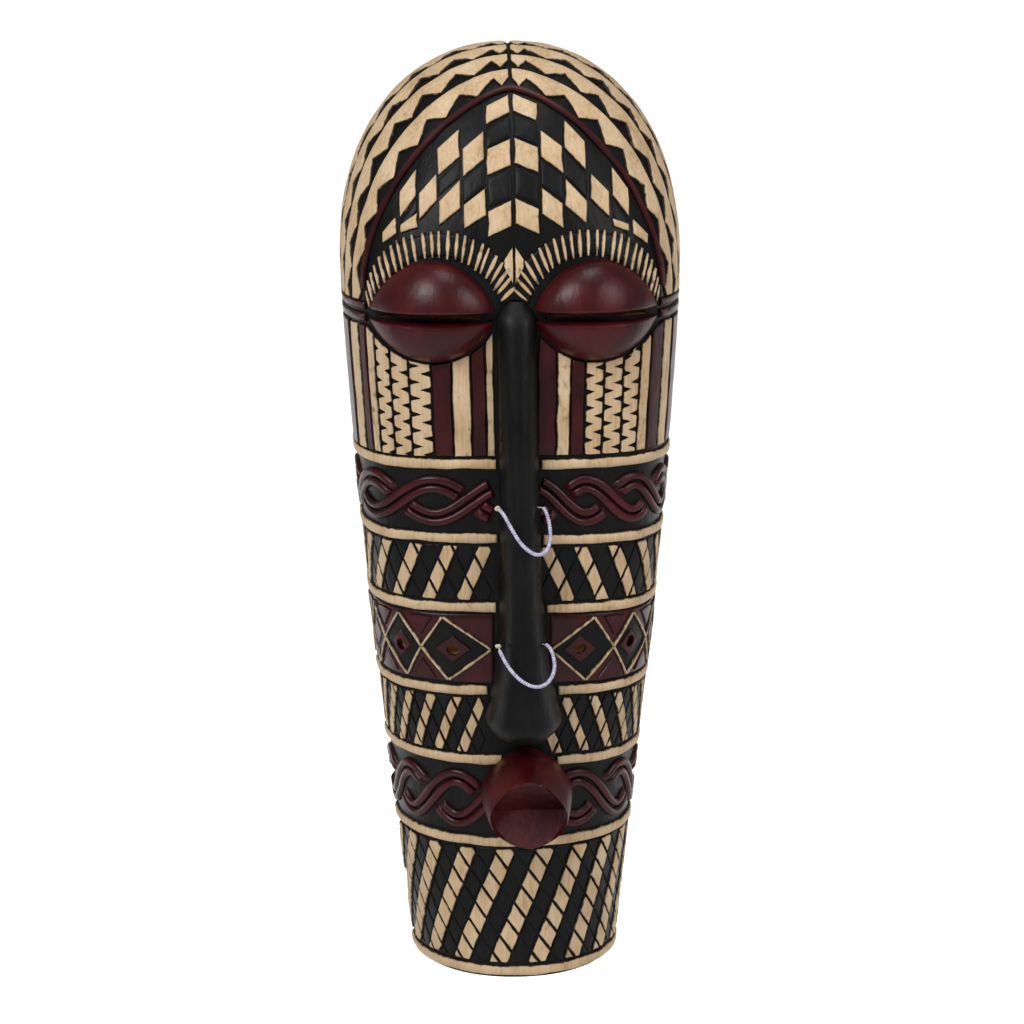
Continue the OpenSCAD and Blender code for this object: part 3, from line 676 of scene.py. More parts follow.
def round_off(p, parts=6):
    """A smooth line through the points: each step is a cubic whose slopes join the neighbours."""
    slope = np.gradient(p, axis=0)
    t = np.linspace(0, 1, parts, endpoint=False)[:, None]
    a, b, c, d = p[:-1], p[1:], slope[:-1], slope[1:]
    rows = [(2 * t ** 3 - 3 * t ** 2 + 1) * a[i] + (t ** 3 - 2 * t ** 2 + t) * c[i]
            + (3 * t ** 2 - 2 * t ** 3) * b[i] + (t ** 3 - t ** 2) * d[i] for i in range(len(a))]
    return np.concatenate(rows + [p[-1:]])


def strand(name, route, bore):
    """One strand: a thread with its beads and its knot, all riding on the strand's own body."""
    q = np.asarray(route, float)
    z = BORE_Z[bore]
    path = round_off(np.stack([nose_x(z) + q[:, 0], BORE_Y[bore] - q[:, 1], z - q[:, 2]], -1))
    gaps = np.linalg.norm(np.diff(path, axis=0), axis=1)
    along = np.concatenate([[0], np.cumsum(gaps)])
    length = along[-1]
    thread = Carving()
    tube(thread, path, THREAD_D / 2, 10)
    thread_piece = thread.piece(name + "_thread_piece", COTTON, name + "_strand", 60,
                                [name + "_thread"], "cotton_thread")
    beads = Carving()
    half = BEAD_PITCH / 2 * 0.98
    for s in np.arange(5.4, length - KNOT_D / 2 - 0.8, BEAD_PITCH):
        here = np.array([np.interp(s, along, path[:, k]) for k in range(3)])
        ahead = np.array([np.interp(s + 0.5, along, path[:, k]) for k in range(3)])
        r = BEAD_D / 2 * rng.uniform(0.93, 1.0)
        profile = ((-half, 0.42), (-half, r * 0.72), (-half * 0.7, r * 0.94), (0, r),
                   (half * 0.7, r * 0.94), (half, r * 0.72), (half, 0.42))
        revolve(beads, here, ahead - here, profile, 10)
    beads_piece = beads.piece(name + "_beads_piece", GLASS, name + "_strand", 60,
                              [name + "_beads"], "glass_beads")
    knot = Carving()
    knot_turns(knot, path[-1], path[-1] - path[-4])
    knot_piece = knot.piece(name + "_knot_piece", COTTON, name + "_strand", 80,
                            [name + "_knot"], "cotton_thread")


def knot_turns(made, centre, axis):
    """A small overhand knot: three turns of thread wound round a round heart."""
    axis = axis / np.linalg.norm(axis)
    ref = np.cross(axis, [0.2, -0.5, 0.8])
    ref = ref / np.linalg.norm(ref)
    other = np.cross(axis, ref)
    t = np.linspace(0, 2 * math.pi, 90)
    r = KNOT_D / 2 - 0.42
    for tip, start in ((0.5, 0.0), (-0.55, 2.1), (0.1, 4.2)):
        turn = t + start
        lean = tip * np.sin(turn + start)
        ring = r * 0.8 * (np.outer(np.cos(turn), ref) + np.outer(np.sin(turn), other))
        ring = ring + np.outer(lean * r, axis)
        tube(made, centre + ring[:-1], 0.4, 8)
    profile = [(-r * 0.8, 0.2), (-r * 0.5, r * 0.62), (0, r * 0.85), (r * 0.5, r * 0.62), (r * 0.8, 0.2)]
    revolve(made, centre, axis, profile, 16)


strand("upper", UPPER_ROUTE, 1)
strand("lower", LOWER_ROUTE, 3)


# ---- the block -------------------------------------------------------------------------------

LEVELS = 150
AROUND = 170


def hand_cut(p, size):
    """Slow unevenness of hand-cut wood: three crossing sine waves, size high."""
    return size * (np.sin(p[..., 0] * 0.21 + p[..., 2] * 0.05) + np.sin(p[..., 2] * 0.17 - p[..., 0] * 0.08)
                   + np.sin((p[..., 0] + p[..., 2] - p[..., 1]) * 0.11)) / 3


def block_levels():
    """Heights of the block's sections: even steps up the sides and sine steps over the dome."""
    sides = int(LEVELS * 0.68)
    over = LEVELS - sides - 2
    dome_steps = np.sin(np.radians(np.linspace(0, 88.5, over)))
    return np.concatenate([[0, 0.6], np.linspace(1.6, DOME_Z, sides, endpoint=False),
                           DOME_Z + (MASK_H - DOME_Z) * dome_steps])


def block_rings():
    """The outside, level by level, with the chin's lower edge rounded."""
    z = block_levels()
    turn = np.linspace(0, math.pi, AROUND)
    p = skin(turn[None, :], z[:, None])
    p[0, :, :2] *= 0.985
    p[1, :, :2] *= 0.995
    n = outward(p)
    shy = np.sin(turn)[None, :] * np.clip(z / 10, 0, 1)[:, None] * np.clip((MASK_H - z) / 10, 0, 1)[:, None]
    return p + n * (hand_cut(p, 0.3) * shy)[..., None]


def hollow_rings():
    """The inside: the outside drawn in by the wall, closed by its own small dome, and hit with
    overlapping gouge cuts about 9 mm wide: the depth follows |sin| across and along them."""
    top = MASK_H - CROWN_SOLID
    z = WALL + (top - WALL) * block_levels() / MASK_H
    start = top - 70
    k = np.where(z <= start, 1, np.maximum(0, 1 - (np.clip(z - start, 0, None) / 70.5) ** 2.2) ** (1 / 2.2))
    turn = np.linspace(0, math.pi, AROUND)[None, :]
    n = squareness(z)[:, None]
    c, s = np.cos(turn), np.abs(np.sin(turn))
    r = (np.abs(c) ** n + s ** n) ** (-1 / n)
    p = np.stack([(half_width(z) - WALL)[:, None] * k[:, None] * r * c,
                  -(depth(z) - WALL)[:, None] * k[:, None] * r * s,
                  np.broadcast_to(z[:, None], r.shape)], -1)
    arc = turn / math.pi * 190
    row = np.floor(z / 22)[:, None]
    cuts = np.abs(np.sin(math.pi * (arc + 4 * row) / 9)) * np.abs(np.sin(math.pi * z / 22))[:, None] ** 0.5
    inset = 0.9 * (1 - cuts) * np.sin(turn) ** 0.5
    centre = np.stack([np.zeros_like(z), -0.45 * depth(z), z], -1)[:, None, :]
    inward = centre - p
    inward = inward / np.maximum(np.linalg.norm(inward, axis=-1, keepdims=True), 1e-6)
    p[..., :2] += (inward * inset[..., None])[..., :2]
    return p


def make_block():
    """One closed mesh: outside, hollow, flat back rim and the two end faces."""
    outer, inner = block_rings(), hollow_rings()
    n, m = outer.shape[:2]
    shift = n * m
    points = np.concatenate([outer.reshape(-1, 3), inner.reshape(-1, 3), [[0, 0, MASK_H]]])
    apex = 2 * shift
    i, j = np.meshgrid(np.arange(n - 1), np.arange(m - 1), indexing="ij")
    a, b = i * m + j, i * m + j + 1
    c, d = (i + 1) * m + j + 1, (i + 1) * m + j
    outside = np.stack([a, b, c, d], -1).reshape(-1, 4)
    inside = np.stack([d, c, b, a], -1).reshape(-1, 4) + shift
    rows = np.arange(n - 1)
    right = np.stack([rows * m, (rows + 1) * m, shift + (rows + 1) * m, shift + rows * m], -1)
    last = m - 1
    left = np.stack([rows * m + last, shift + rows * m + last, shift + (rows + 1) * m + last,
                     (rows + 1) * m + last], -1)
    top = (n - 1) * m
    crown = [[top + k, top + k + 1, apex] for k in range(m - 1)]
    ends = [list(range(m - 1, -1, -1)), list(range(shift, shift + m)),
            list(range(shift + top + m - 1, shift + top - 1, -1)),
            [0, shift, shift + last, last],
            [top, apex, shift + top], [top + last, shift + top + last, apex],
            [shift + top, apex, shift + top + last]]
    mesh = bpy.data.meshes.new("block")
    faces = outside.tolist() + inside.tolist() + right.tolist() + left.tolist() + crown + ends
    mesh.from_pydata(to_row(points).tolist(), [], faces)
    wood = np.zeros(len(faces), np.int32)
    painted = len(outside)
    wood[painted:painted + len(inside) + len(right) + len(left)] = 1
    wood[-len(ends):] = 1
    wood[-len(ends)] = 0
    mesh.materials.append(BLACK)
    mesh.materials.append(WOOD)
    mesh.polygons.foreach_set("material_index", wood)
    mesh.shade_smooth()
    mesh.set_sharp_from_angle(angle=math.radians(50))
    mesh.update()
    return link(mesh, "block")


def box_cutter(low, high):
    """A plain box to cut with, lined with bare wood."""
    low, high = np.array(low, float), np.array(high, float)
    corners = [(x, y, z) for x in (0, 1) for y in (0, 1) for z in (0, 1)]
    points = low + (high - low) * np.array(corners)
    faces = [[0, 1, 3, 2], [4, 6, 7, 5], [0, 4, 5, 1], [2, 3, 7, 6], [0, 2, 6, 4], [1, 5, 7, 3]]
    return cutter_mesh(points, faces)


def cutter_mesh(points, faces):
    mesh = bpy.data.meshes.new("cutter")
    mesh.from_pydata(to_row(points).tolist(), [], faces)
    mesh.materials.append(BLACK)
    mesh.materials.append(WOOD)
    mesh.polygons.foreach_set("material_index", np.ones(len(faces), np.int32))
    return link(mesh, "cutter")


def drill(centre, axis, diameter, length, sides=32):
    """A round cutter, centred on a point."""
    made = Carving()
    profile = ((-length / 2, diameter / 2), (length / 2, diameter / 2))
    revolve(made, np.asarray(centre, float), axis, profile, sides)
    return cutter_mesh(np.concatenate(made.points), made.faces)


def cut_all(targets, cutters):
    for target in targets:
        for c in cutters:
            cut(target, c)
    for c in cutters:
        bpy.data.objects.remove(c)


def diamond_drills():
    """The four drilled holes stand square to the surface."""
    drills = []
    for x in [side * x for side in (-1, 1) for x in DIAMOND_X]:
        p = front(x, DIAMOND_Z)
        drills.append(drill(p, outward(p), DIAMOND_HOLE, 60))
    return drills


block = make_block()
ring_bow = RING_W / 2 + WIRE_D / 2
slits = [box_cutter((side * EYE_X - SLIT_HALF + 2, -110, EYE_Z - SLIT_DOWN),
                    (side * EYE_X + SLIT_HALF - 2, -20, EYE_Z + SLIT_UP)) for side in (-1, 1)]
pocket = box_cutter((-ring_bow - 5, -POCKET_DEPTH, BAR_Z - RING_L - WIRE_D - 4),
                    (ring_bow + 5, 2, BAR_Z + RING_L + WIRE_D + 4))
cut_all([block], slits + [pocket] + diamond_drills())
settle(block, "mask", ["carved_shell"])


# ---- nose ------------------------------------------------------------------------------------

def nose_rings():
    """The ridge, level by level: a superellipse arch standing on a foot sunk in the block, with
    its flanks pinched a little so that the wings flare at the bottom."""
    low = WING_Z - TIP_H * 0.985 * np.cos(np.radians(np.linspace(0, 90, 22)))
    z = np.concatenate([low, np.linspace(WING_Z, EYE_Z + 8, 92)[1:]])[:, None]
    t = np.radians(np.linspace(0, 180, 52))[None, :]
    c, s = np.cos(t), np.abs(np.sin(t))
    e = 2 / NOSE_POWER
    x = nose_x(z) + nose_half(z) * np.sign(c) * np.abs(c) ** e
    y = -depth(z) - nose_out(z) * s ** e
    p = np.stack([x, y, np.broadcast_to(z, x.shape)], -1)
    p = p + np.array([1, 0, 0]) * (hand_cut(p * 1.7, 0.25) * s)[..., None]
    feet = [np.stack([nose_x(z) + side * nose_half(z), -depth(z) + NOSE_SINK, z], -1) for side in (-1, 1)]
    return np.concatenate([p, feet[0], feet[1]], 1)


nose = Carving()
nose.sleeve(nose_rings())
nose_piece = nose.piece("nose", BLACK, angle=50, replaces=["nose_ridge"], slot="black_paint")
bores = [drill((0, BORE_Y[k], BORE_Z[k]), (1, 0, 0), STRAND_BORE, 60, 20) for k in range(4)]
cut_all([nose_piece], bores)


# ---- mouth -----------------------------------------------------------------------------------

def mouth_rings():
    """A blunt snout, pointed above and drawn in below its corners: rings that shrink as they come
    forward, then close over the front, where a V notch runs across between the lips."""
    t = np.linspace(0, 2 * math.pi, 96, endpoint=False)
    base = float(-depth(MOUTH_Z))

    def ring(k, out):
        c, s = np.cos(t), np.sin(t)
        near = float(smooth((out - 12) / (MOUTH_OUT - 14)))
        x = MOUTH_X + MOUTH_HALF * k * np.sign(c) * np.abs(c) ** np.where(s > 0, 1.3, 1.45 - 0.1 * near)
        up = (0.96 - 0.04 * near) * np.abs(s) ** (1.2 + 0.35 * near)
        down = (1 - 0.14 * near) * np.abs(s) ** 0.85
        middle = MOUTH_Z - 3.6 * near
        z = middle + MOUTH_RISE * k * np.where(s > 0, up, -down)
        notch = NOTCH_DEPTH * np.maximum(0, 1 - np.abs(z - middle) / (0.7 * MOUTH_RISE))
        depth_in = notch if out >= MOUTH_OUT else 0
        return np.stack([x, np.broadcast_to(base - out + depth_in, x.shape), z], -1)

    outs = np.linspace(-8, MOUTH_OUT - 2, 26)
    shares = np.interp(outs, (-8, 4, 14, 24, 31, MOUTH_OUT - 2), (1.0, 1.0, 0.97, 0.92, 0.88, 0.84))
    rings = [ring(k, o) for k, o in zip(shares, outs)]
    rings += [ring(k, MOUTH_OUT) for k in np.concatenate([[0.795, 0.78], np.linspace(0.74, 0.02, 16)])]
    return np.array(rings)


mouth = Carving()
mouth.sleeve(mouth_rings())
mouth.piece("mouth_piece", MAROON, angle=30, replaces=["mouth"], slot="maroon_paint")


# ---- eyes ------------------------------------------------------------------------------------

def lid_rings(side, height, up):
    """One lid: from the slit's edge out to the almond outline, bulging like half a bean.
    With s along the eye and q from the slit to the outline, it stands out by
    the bulge times (1 - s^2)^0.6 times (1 - q^2)^0.55, rounded over at the slit."""
    s = np.sin(np.radians(np.linspace(-77, 77, 70)))[:, None]
    q = np.concatenate([[0, 0.02, 0.05], np.linspace(0.09, 0.94, 26), [0.97, 0.99, 1.0]])[None, :]
    edge = height * (1 - s * s) ** 0.65
    z = EYE_Z + up * (SLIT_H / 2 + np.maximum(0.4, edge - SLIT_H / 2) * q)
    x = side * EYE_X + s * EYE_HALF + 0 * q
    lip = 1 - 0.13 * np.clip(1 - q / 0.07, 0, 1) ** 2
    rise = LID_BULGE * (1 - s * s) ** 0.6 * np.maximum(0, 1 - q * q) ** 0.55 * lip
    on = front(x, z)
    top = on - np.array([0, 1, 0]) * rise[..., None]
    under = on + np.array([0, 1, 0]) * 2 * ROOT
    return np.concatenate([under[:, :1], top, under[:, -1:]], 1)


for side, word in ((-1, "left"), (1, "right")):
    for height, up, part in ((UPPER_LID, 1, "upper_lid"), (LOWER_LID, -1, "lower_lid")):
        lid = Carving()
        lid.sleeve(lid_rings(side, height, up))
        lid.piece(f"{word}_{part}_piece", MAROON, angle=45, replaces=[f"{word}_{part}"], slot="maroon_paint")


# ---- brows -----------------------------------------------------------------------------------

BROW_TICKS = 24
BROW_X = 38.5
BROW_HALF = 37
BROW_H = 37.5


def brow_place(side, t, out):
    """A place round the eye: angle t in degrees from the outer corner, out from the arc's middle."""
    t = np.radians(t)
    return side * (BROW_X + (BROW_HALF + out) * np.cos(t)), EYE_Z + (BROW_H + out) * np.sin(t)


def make_brow(side, word):
    """A raised black arc with slanting cream cuts across it, longest over the middle of the eye."""
    ground = Carving()
    t = np.linspace(8, 168, 60)
    ribbon(ground, *line(np.stack(brow_place(side, t, 0), -1), 11.5), rise=1.2, step=1.6)
    ground.piece(f"{word}_brow_ground", BLACK, replaces=[f"{word}_brow"], slot="black_paint")
    ticks = Carving()
    for k in range(BROW_TICKS):
        at = 9 + 156 * (k + 0.5) / BROW_TICKS + rng.normal(0, 0.5)
        middle = np.array(brow_place(side, at, 0))
        away = np.array(brow_place(side, at, 1)) - middle
        lean = 0.15 + 0.5 * at / 165
        away = away / np.linalg.norm(away) * lean + np.array([0, 1 - lean])
        away = away / np.linalg.norm(away)
        reach = 7.2 * min(1, 0.5 + at / 70, 0.55 + (168 - at) / 40) * rng.uniform(0.92, 1.05)
        wide = np.array([1.2, 2.1, 2.5, 2.3, 1.5]) * rng.uniform(0.85, 1.1) * min(1, 0.55 + at / 50)
        places = np.linspace(middle - away * reach, middle + away * reach, 5)
        p = front(places[:, 0], places[:, 1])
        ribbon(ticks, *beside(p, wide), rise=2.3, bevel=0.5, step=1.2, wander=0.1)
    return ticks


for side, word in ((-1, "left"), (1, "right")):
    make_brow(side, word).piece(f"{word}_brow_ticks", CREAM, slot="cream_paint")


# ---- forehead --------------------------------------------------------------------------------

def rim_at(f):
    """The outline's point at angle f from the dome's middle, seen from the front."""
    across = (np.abs(np.cos(f)) / (MASK_W / 2)) ** DOME_POWER
    up = (np.abs(np.sin(f)) / (MASK_H - DOME_Z)) ** DOME_POWER
    r = (across + up) ** (-1 / DOME_POWER)
    return np.stack([r * np.cos(f), r * np.sin(f)], -1)


def arch_share(f):
    """Share of the way to the outline where the arch lies, found by halving. With z from the
    eyes upwards, the arch is (|x| / its half width)^1.5 + (z / its height)^2 = 1."""
    low, high = np.zeros_like(f), np.ones_like(f)
    for _ in range(30):
        s = (low + high) / 2
        p = rim_at(f) * s[:, None]
        value = (np.abs(p[:, 0]) / ARCH_HALF) ** 1.5 + ((DOME_Z + p[:, 1] - EYE_Z) / (ARCH_TOP - EYE_Z)) ** 2
        low, high = np.where(value < 1, s, low), np.where(value < 1, high, s)
    return (low + high) / 2


def crown_points(f, k):
    """Surface points at angles f, share k of the way from the arch (0) to the rim (1)."""
    a = np.arcsin(arch_share(f))
    p = rim_at(f) * np.sin(a + (math.pi / 2 - a) * k)[:, None]
    return front(p[:, 0], DOME_Z + p[:, 1])


def crown_line(side, k_of, start, stop, count, foot):
    """A line of surface points over one half of the dome, from near the middle to its side,
    then straight down until it is foot above the middle of the eyes."""
    f = np.radians(np.linspace(stop, start, count))
    p = crown_points(f, k_of(f))
    if start <= 0:
        last = p[-1].copy()
        tail = np.linspace(DOME_Z, EYE_Z + foot, 10)[1:]
        share = math.atan2(-last[1] / float(depth(DOME_Z)), last[0] / float(half_width(DOME_Z)))
        p = np.concatenate([p, skin(share, tail)])
    p[:, 0] *= side
    return p


ARCH_FOOT = 12                        # how far above the middle of the eyes the arch's feet stop
STRIP_FOOT = 6                        # and how far the strips' do
STRIP_STARTS = (0.035, 0.285, 0.525, 0.765)       # shares of the way from the arch to the rim
STRIP_DEEP = 0.222
TOOTH_DEEP = 0.115
TOOTH_PITCH = 21.5                    # in millimetres along the strip


def make_crown_strip(number, inner):
    """One cream strip with a stair-stepped inner edge: every tooth rises steadily from its
    notch for two thirds of the pitch, then drops back."""
    made = Carving()
    outer = inner + STRIP_DEEP
    for side in (-1, 1):
        middle = crown_line(1, lambda f: np.full(len(f), (inner + outer) / 2), 0.0, 89.85, 500, STRIP_FOOT)
        run = np.concatenate([[0], np.cumsum(np.linalg.norm(np.diff(middle, axis=0), axis=1))])
        rng.uniform(0, 6)             # a draw that is passed over, so that later cuts stay alike
        total = run[-1]
        edges = [0.0]
        while edges[-1] < total:
            edges.append(edges[-1] + TOOTH_PITCH * rng.uniform(0.92, 1.08) * (0.4 if edges[-1] == 0 else 1))
        keys, depths = [], []
        for e0, e1 in zip(edges[:-1], edges[1:]):
            keys += [e0, e0 + (e1 - e0) * 0.52, e1 - 0.01]
            depths += [TOOTH_DEEP, 0.0, TOOTH_DEEP]
        rows = np.unique(np.concatenate([np.linspace(0.45, total, int(total / 2.5)), np.array(keys)]))
        rows = rows[(rows >= 0.45) & (rows <= total)]
        notch = np.interp(rows, keys, depths)
        lines = [crown_line(1, lambda f, k=k: np.full(len(f), k), 0.0, 89.85, 500, STRIP_FOOT)
                 for k in (inner, inner + TOOTH_DEEP, outer)]
        picked = [np.stack([np.interp(rows, run, q[:, a]) for a in range(3)], -1) for q in lines]
        share = (notch / TOOTH_DEEP)[:, None]
        a = press(picked[0] * (1 - share) + picked[1] * share)
        b = picked[2]
        a[:, 0] *= side
        b[:, 0] *= side
        ribbon(made, a, b, rise=RELIEF, bevel=0.7, step=2.2, wander=0.2)
    made.piece(f"crown_strip_{number}", CREAM, replaces=[f"crown_border_{number}"], slot="cream_paint")


for number, inner in enumerate(STRIP_STARTS, 1):
    make_crown_strip(number, inner)

arch = Carving()
right_half = crown_line(1, lambda f: np.zeros(len(f)), 0.0, 90.0, 150, ARCH_FOOT)
left_half = (right_half * [-1, 1, 1])[::-1]
ribbon(arch, *beside(np.concatenate([left_half, right_half[1:]]), 3.4), rise=2.5, bulge=0.2)
arch.piece("crown_arch_piece", MAROON, replaces=["crown_arch"], slot="maroon_paint")

# Columns of forehead tiles, from the middle outwards: the column's two sides, then for each
# cream tile the height of its top at the inner side.
FOREHEAD = {
    -1: ((0.8, 13.2, (477, 456, 426)), (14.2, 25.8, (460, 432)), (27, 38.4, (460.5, 436)),
         (39.2, 48.6, (438.5,)), (49.6, 58.2, (440, 419)), (60, 67.5, (417,))),
    1: ((0.9, 13.2, (477.5, 456.5, 427)), (14.6, 25.8, (460, 432)), (27, 38, (464.5, 436)),
        (40, 49.6, (438,)), (51.6, 60, (440, 415)), (62, 70, (414,))),
}
TILE_DROP = (5.2, 8.5, 10.5, 10.0, 12.0, 9.0)     # how far a tile's edges drop over its width
TILE_HIGH = (12.6, 13.5, 13.4, 13.0, 13.0, 9.0)   # how tall it is at its inner side


def above_brow(x):
    """The least height for a forehead tile at a distance x from the middle, clear of the brow."""
    share = np.clip(1 - ((x - BROW_X) / (BROW_HALF + 9)) ** 2, 0, 1)
    return np.where(x > 15, EYE_Z + (BROW_H + 9.5) * np.sqrt(share), 0)


def make_forehead(side, word):
    """Leaning cream tiles in columns, with nearly flush black tiles between them."""
    cream, black = Carving(), Carving()
    for (x0, x1, tops), drop, high in zip(FOREHEAD[side], TILE_DROP, TILE_HIGH):
        for k, top in enumerate(tops):
            tall = high * (0.68 if top > 470 else 1.0) * rng.uniform(0.95, 1.05)
            lean = drop * rng.uniform(0.92, 1.08)
            heights = np.array([top, top - tall, top - tall - lean, top - lean * 1.02])
            edge = above_brow(np.array([x0, x0, x1, x1]))
            heights = np.maximum(heights, edge + (4, 0, 0, 4))
            corners = [(side * x, z) for x, z in zip((x0, x0, x1, x1), heights)]
            tile(cream, corners, RELIEF, bevel=0.9, step=2.2, wander=0.3)
            below = tops[k + 1] if k + 1 < len(tops) else None
            if below and top - tall - below > 5:
                gap = 1.2
                corners = ((side * x0, top - tall - gap), (side * x0, below + gap),
                           (side * x1, below - lean + gap), (side * x1, top - tall - lean - gap))
                tile(black, corners, 0.9, bevel=0.9, step=2.4, wander=0.3)
    cream.piece(f"{word}_forehead_tiles_piece", CREAM,
                replaces=[f"{word}_forehead_tiles"], slot="cream_paint")
    black.piece(f"{word}_forehead_ground", BLACK, slot="black_paint")


for side, word in ((-1, "left"), (1, "right")):
    make_forehead(side, word)

kite = Carving()
for side in (-1, 1):
    corners = ((side * 0.5, 403), (side * 0.5, 382.5), (side * 5.2, 392.4), (side * 5.2, 395.4))
    tile(kite, corners, 1.9, bevel=0.6, step=1.4, wander=0.15)
kite.piece("kite", CREAM, slot="cream_paint")


# ---- strips beside the eyes ------------------------------------------------------------------

def make_eye_strips():
    """Two thin maroon strips from each eye's outer corner round to the rim."""
    made = Carving()
    for side in (-1, 1):
        for z, w in ((369.5, 4.2), (363.4, 4.6)):
            start = float(share_turn(0.866, np.array(EYE_Z)))
            turn = np.linspace(start, math.radians(1.5), 24)
            turn = turn if side > 0 else math.pi - turn
            z_low = skin(turn, np.full(24, z - w / 2))
            z_high = skin(turn, np.full(24, z + w / 2))
            ribbon(made, z_low, z_high, rise=1.9, bulge=0.15)
    made.piece("eye_strips", MAROON, slot="maroon_paint")


make_eye_strips()

# ---- cheeks ----------------------------------------------------------------------------------

CHEEK_LOW = BAND_Z[0] + RIDGE_W / 2 + 1.6
# Each stripe is (inner share, outer share of the half width, kind).
CHEEKS = {
    -1: ((0.128, 0.172, "cream"), (0.18, 0.262, "maroon"), (0.27, 0.376, "cream"), (0.383, 0.497, "maroon"),
         (0.506, 0.63, "zigzag"), (0.638, 0.735, "zigzag"), (0.743, 0.819, "zigzag"), (0.828, 0.866, "cream"),
         (0.873, 0.905, "maroon"), (0.914, 0.955, "cream"), (0.966, 0.999, "maroon")),
    1: ((0.14, 0.248, "maroon"), (0.258, 0.334, "cream"), (0.343, 0.42, "maroon"),
        (0.43, 0.532, "zigzag"), (0.54, 0.648, "zigzag"), (0.656, 0.748, "zigzag"), (0.757, 0.811, "cream"),
        (0.818, 0.884, "maroon"), (0.892, 0.938, "cream"), (0.95, 0.999, "maroon")),
}
ZIGZAG_PITCH = 8.6


def lid_edge(x):
    """Where a stripe at x from the middle ends: just under the lower lid, or under the eye strips."""
    s = np.minimum(1, np.abs(np.abs(x) - EYE_X) / (EYE_HALF + 1.5))
    under = EYE_Z - LOWER_LID * (1 - s * s) ** 0.65 - 1
    return np.where(s < 1, np.minimum(under, 359.5), 359.5)


def make_stripe(made, side, inner, outer, kind):
    """An upright stripe; both its side edges run down at a fixed share of the half width. A
    zigzag has teeth cut into both edges by turns, deep enough to leave a winding ribbon."""
    step = 0.7 if kind == "zigzag" else 4
    tops = []
    for share in (inner, outer):
        z = 330.0
        for _ in range(6):
            z = float(lid_edge(share * half_width(z)))
        tops.append(z)
    count = max(6, int((max(tops) - CHEEK_LOW) / step))
    grid = np.linspace(0, 1, count)
    edges = []
    for share, top in zip((inner, outer), tops):
        z = CHEEK_LOW + (top - CHEEK_LOW) * grid
        shares = np.full(count, share)
        if kind == "zigzag":
            phase = (z - CHEEK_LOW) / ZIGZAG_PITCH + (0.5 if share == inner else 0.0) + 0.1 * side
            notch = np.clip(1 - np.abs((phase % 1) - 0.5) * 5.8, 0, 1)
            shares = share + 0.52 * (outer - inner) * notch * (1 if share == inner else -1)
        turn = share_turn(side * shares, z)
        edges.append(skin(turn, z))
    ribbon(made, edges[0], edges[1], rise=RELIEF, bevel=0.6, step=4 if kind != "zigzag" else 1.6,
           wander=0.12 if kind == "zigzag" else 0.22)


for side, word in ((-1, "left"), (1, "right")):
    cream, maroon = Carving(), Carving()
    for inner, outer, kind in CHEEKS[side]:
        make_stripe(maroon if kind == "maroon" else cream, side, inner, outer, kind)
    cream.piece(f"{word}_cheek_cream", CREAM, replaces=[f"{word}_cream_stripes"], slot="cream_paint")
    maroon.piece(f"{word}_cheek_maroon", MAROON, replaces=[f"{word}_maroon_stripes"], slot="maroon_paint")


# ---- ridges between the bands ----------------------------------------------------------------

def ridge(made, z, tilt, width, first, last):
    """A cream ridge round the face between two angles, lower towards the right rim by the tilt."""
    turn = np.linspace(first, last, 120)
    middle = z - tilt * np.cos(turn)
    low = skin(turn, middle - width / 2)
    high = skin(turn, middle + width / 2)
    ribbon(made, low, high, rise=2.3, bevel=1.1, step=2.4, bulge=0.18, wander=0.25)


def ridge_ends(i):
    """The angles at which ridge i stops on the right and on the left of the nose or the mouth."""
    z = float(BAND_Z[i])
    middle = float(nose_x(z)) if i < 4 else MOUTH_X + 1.5
    gap = float(nose_half(z)) + 1.2 if i < 4 else 14.5
    width = float(half_width(z))
    return [float(share_turn((middle + way * gap) / width, np.array(z))) for way in (1, -1)]


RIGHT_RIM, LEFT_RIM = math.radians(0.6), math.radians(179.4)
for i, (z, tilt) in enumerate(zip(BAND_Z, BAND_TILT)):
    made = Carving()
    if i < 5:
        right_end, left_end = ridge_ends(i)
        ridge(made, z, tilt, RIDGE_W, RIGHT_RIM, right_end)
        ridge(made, z, tilt, RIDGE_W, left_end, LEFT_RIM)
    else:
        ridge(made, z, tilt, RIDGE_W, RIGHT_RIM, LEFT_RIM)
    made.piece(f"ridge_{i + 1}", CREAM, replaces=[f"ridge_band_{i + 1}"], slot="cream_paint")
made = Carving()
ridge(made, RIDGE_W / 2 + 1.6, 0, RIDGE_W, RIGHT_RIM, LEFT_RIM)
made.piece("chin_ridge", CREAM, replaces=["chin_border"], slot="cream_paint")


# ---- braids ----------------------------------------------------------------------------------

CORD_W = 4.7                          # one raised cord of a braid


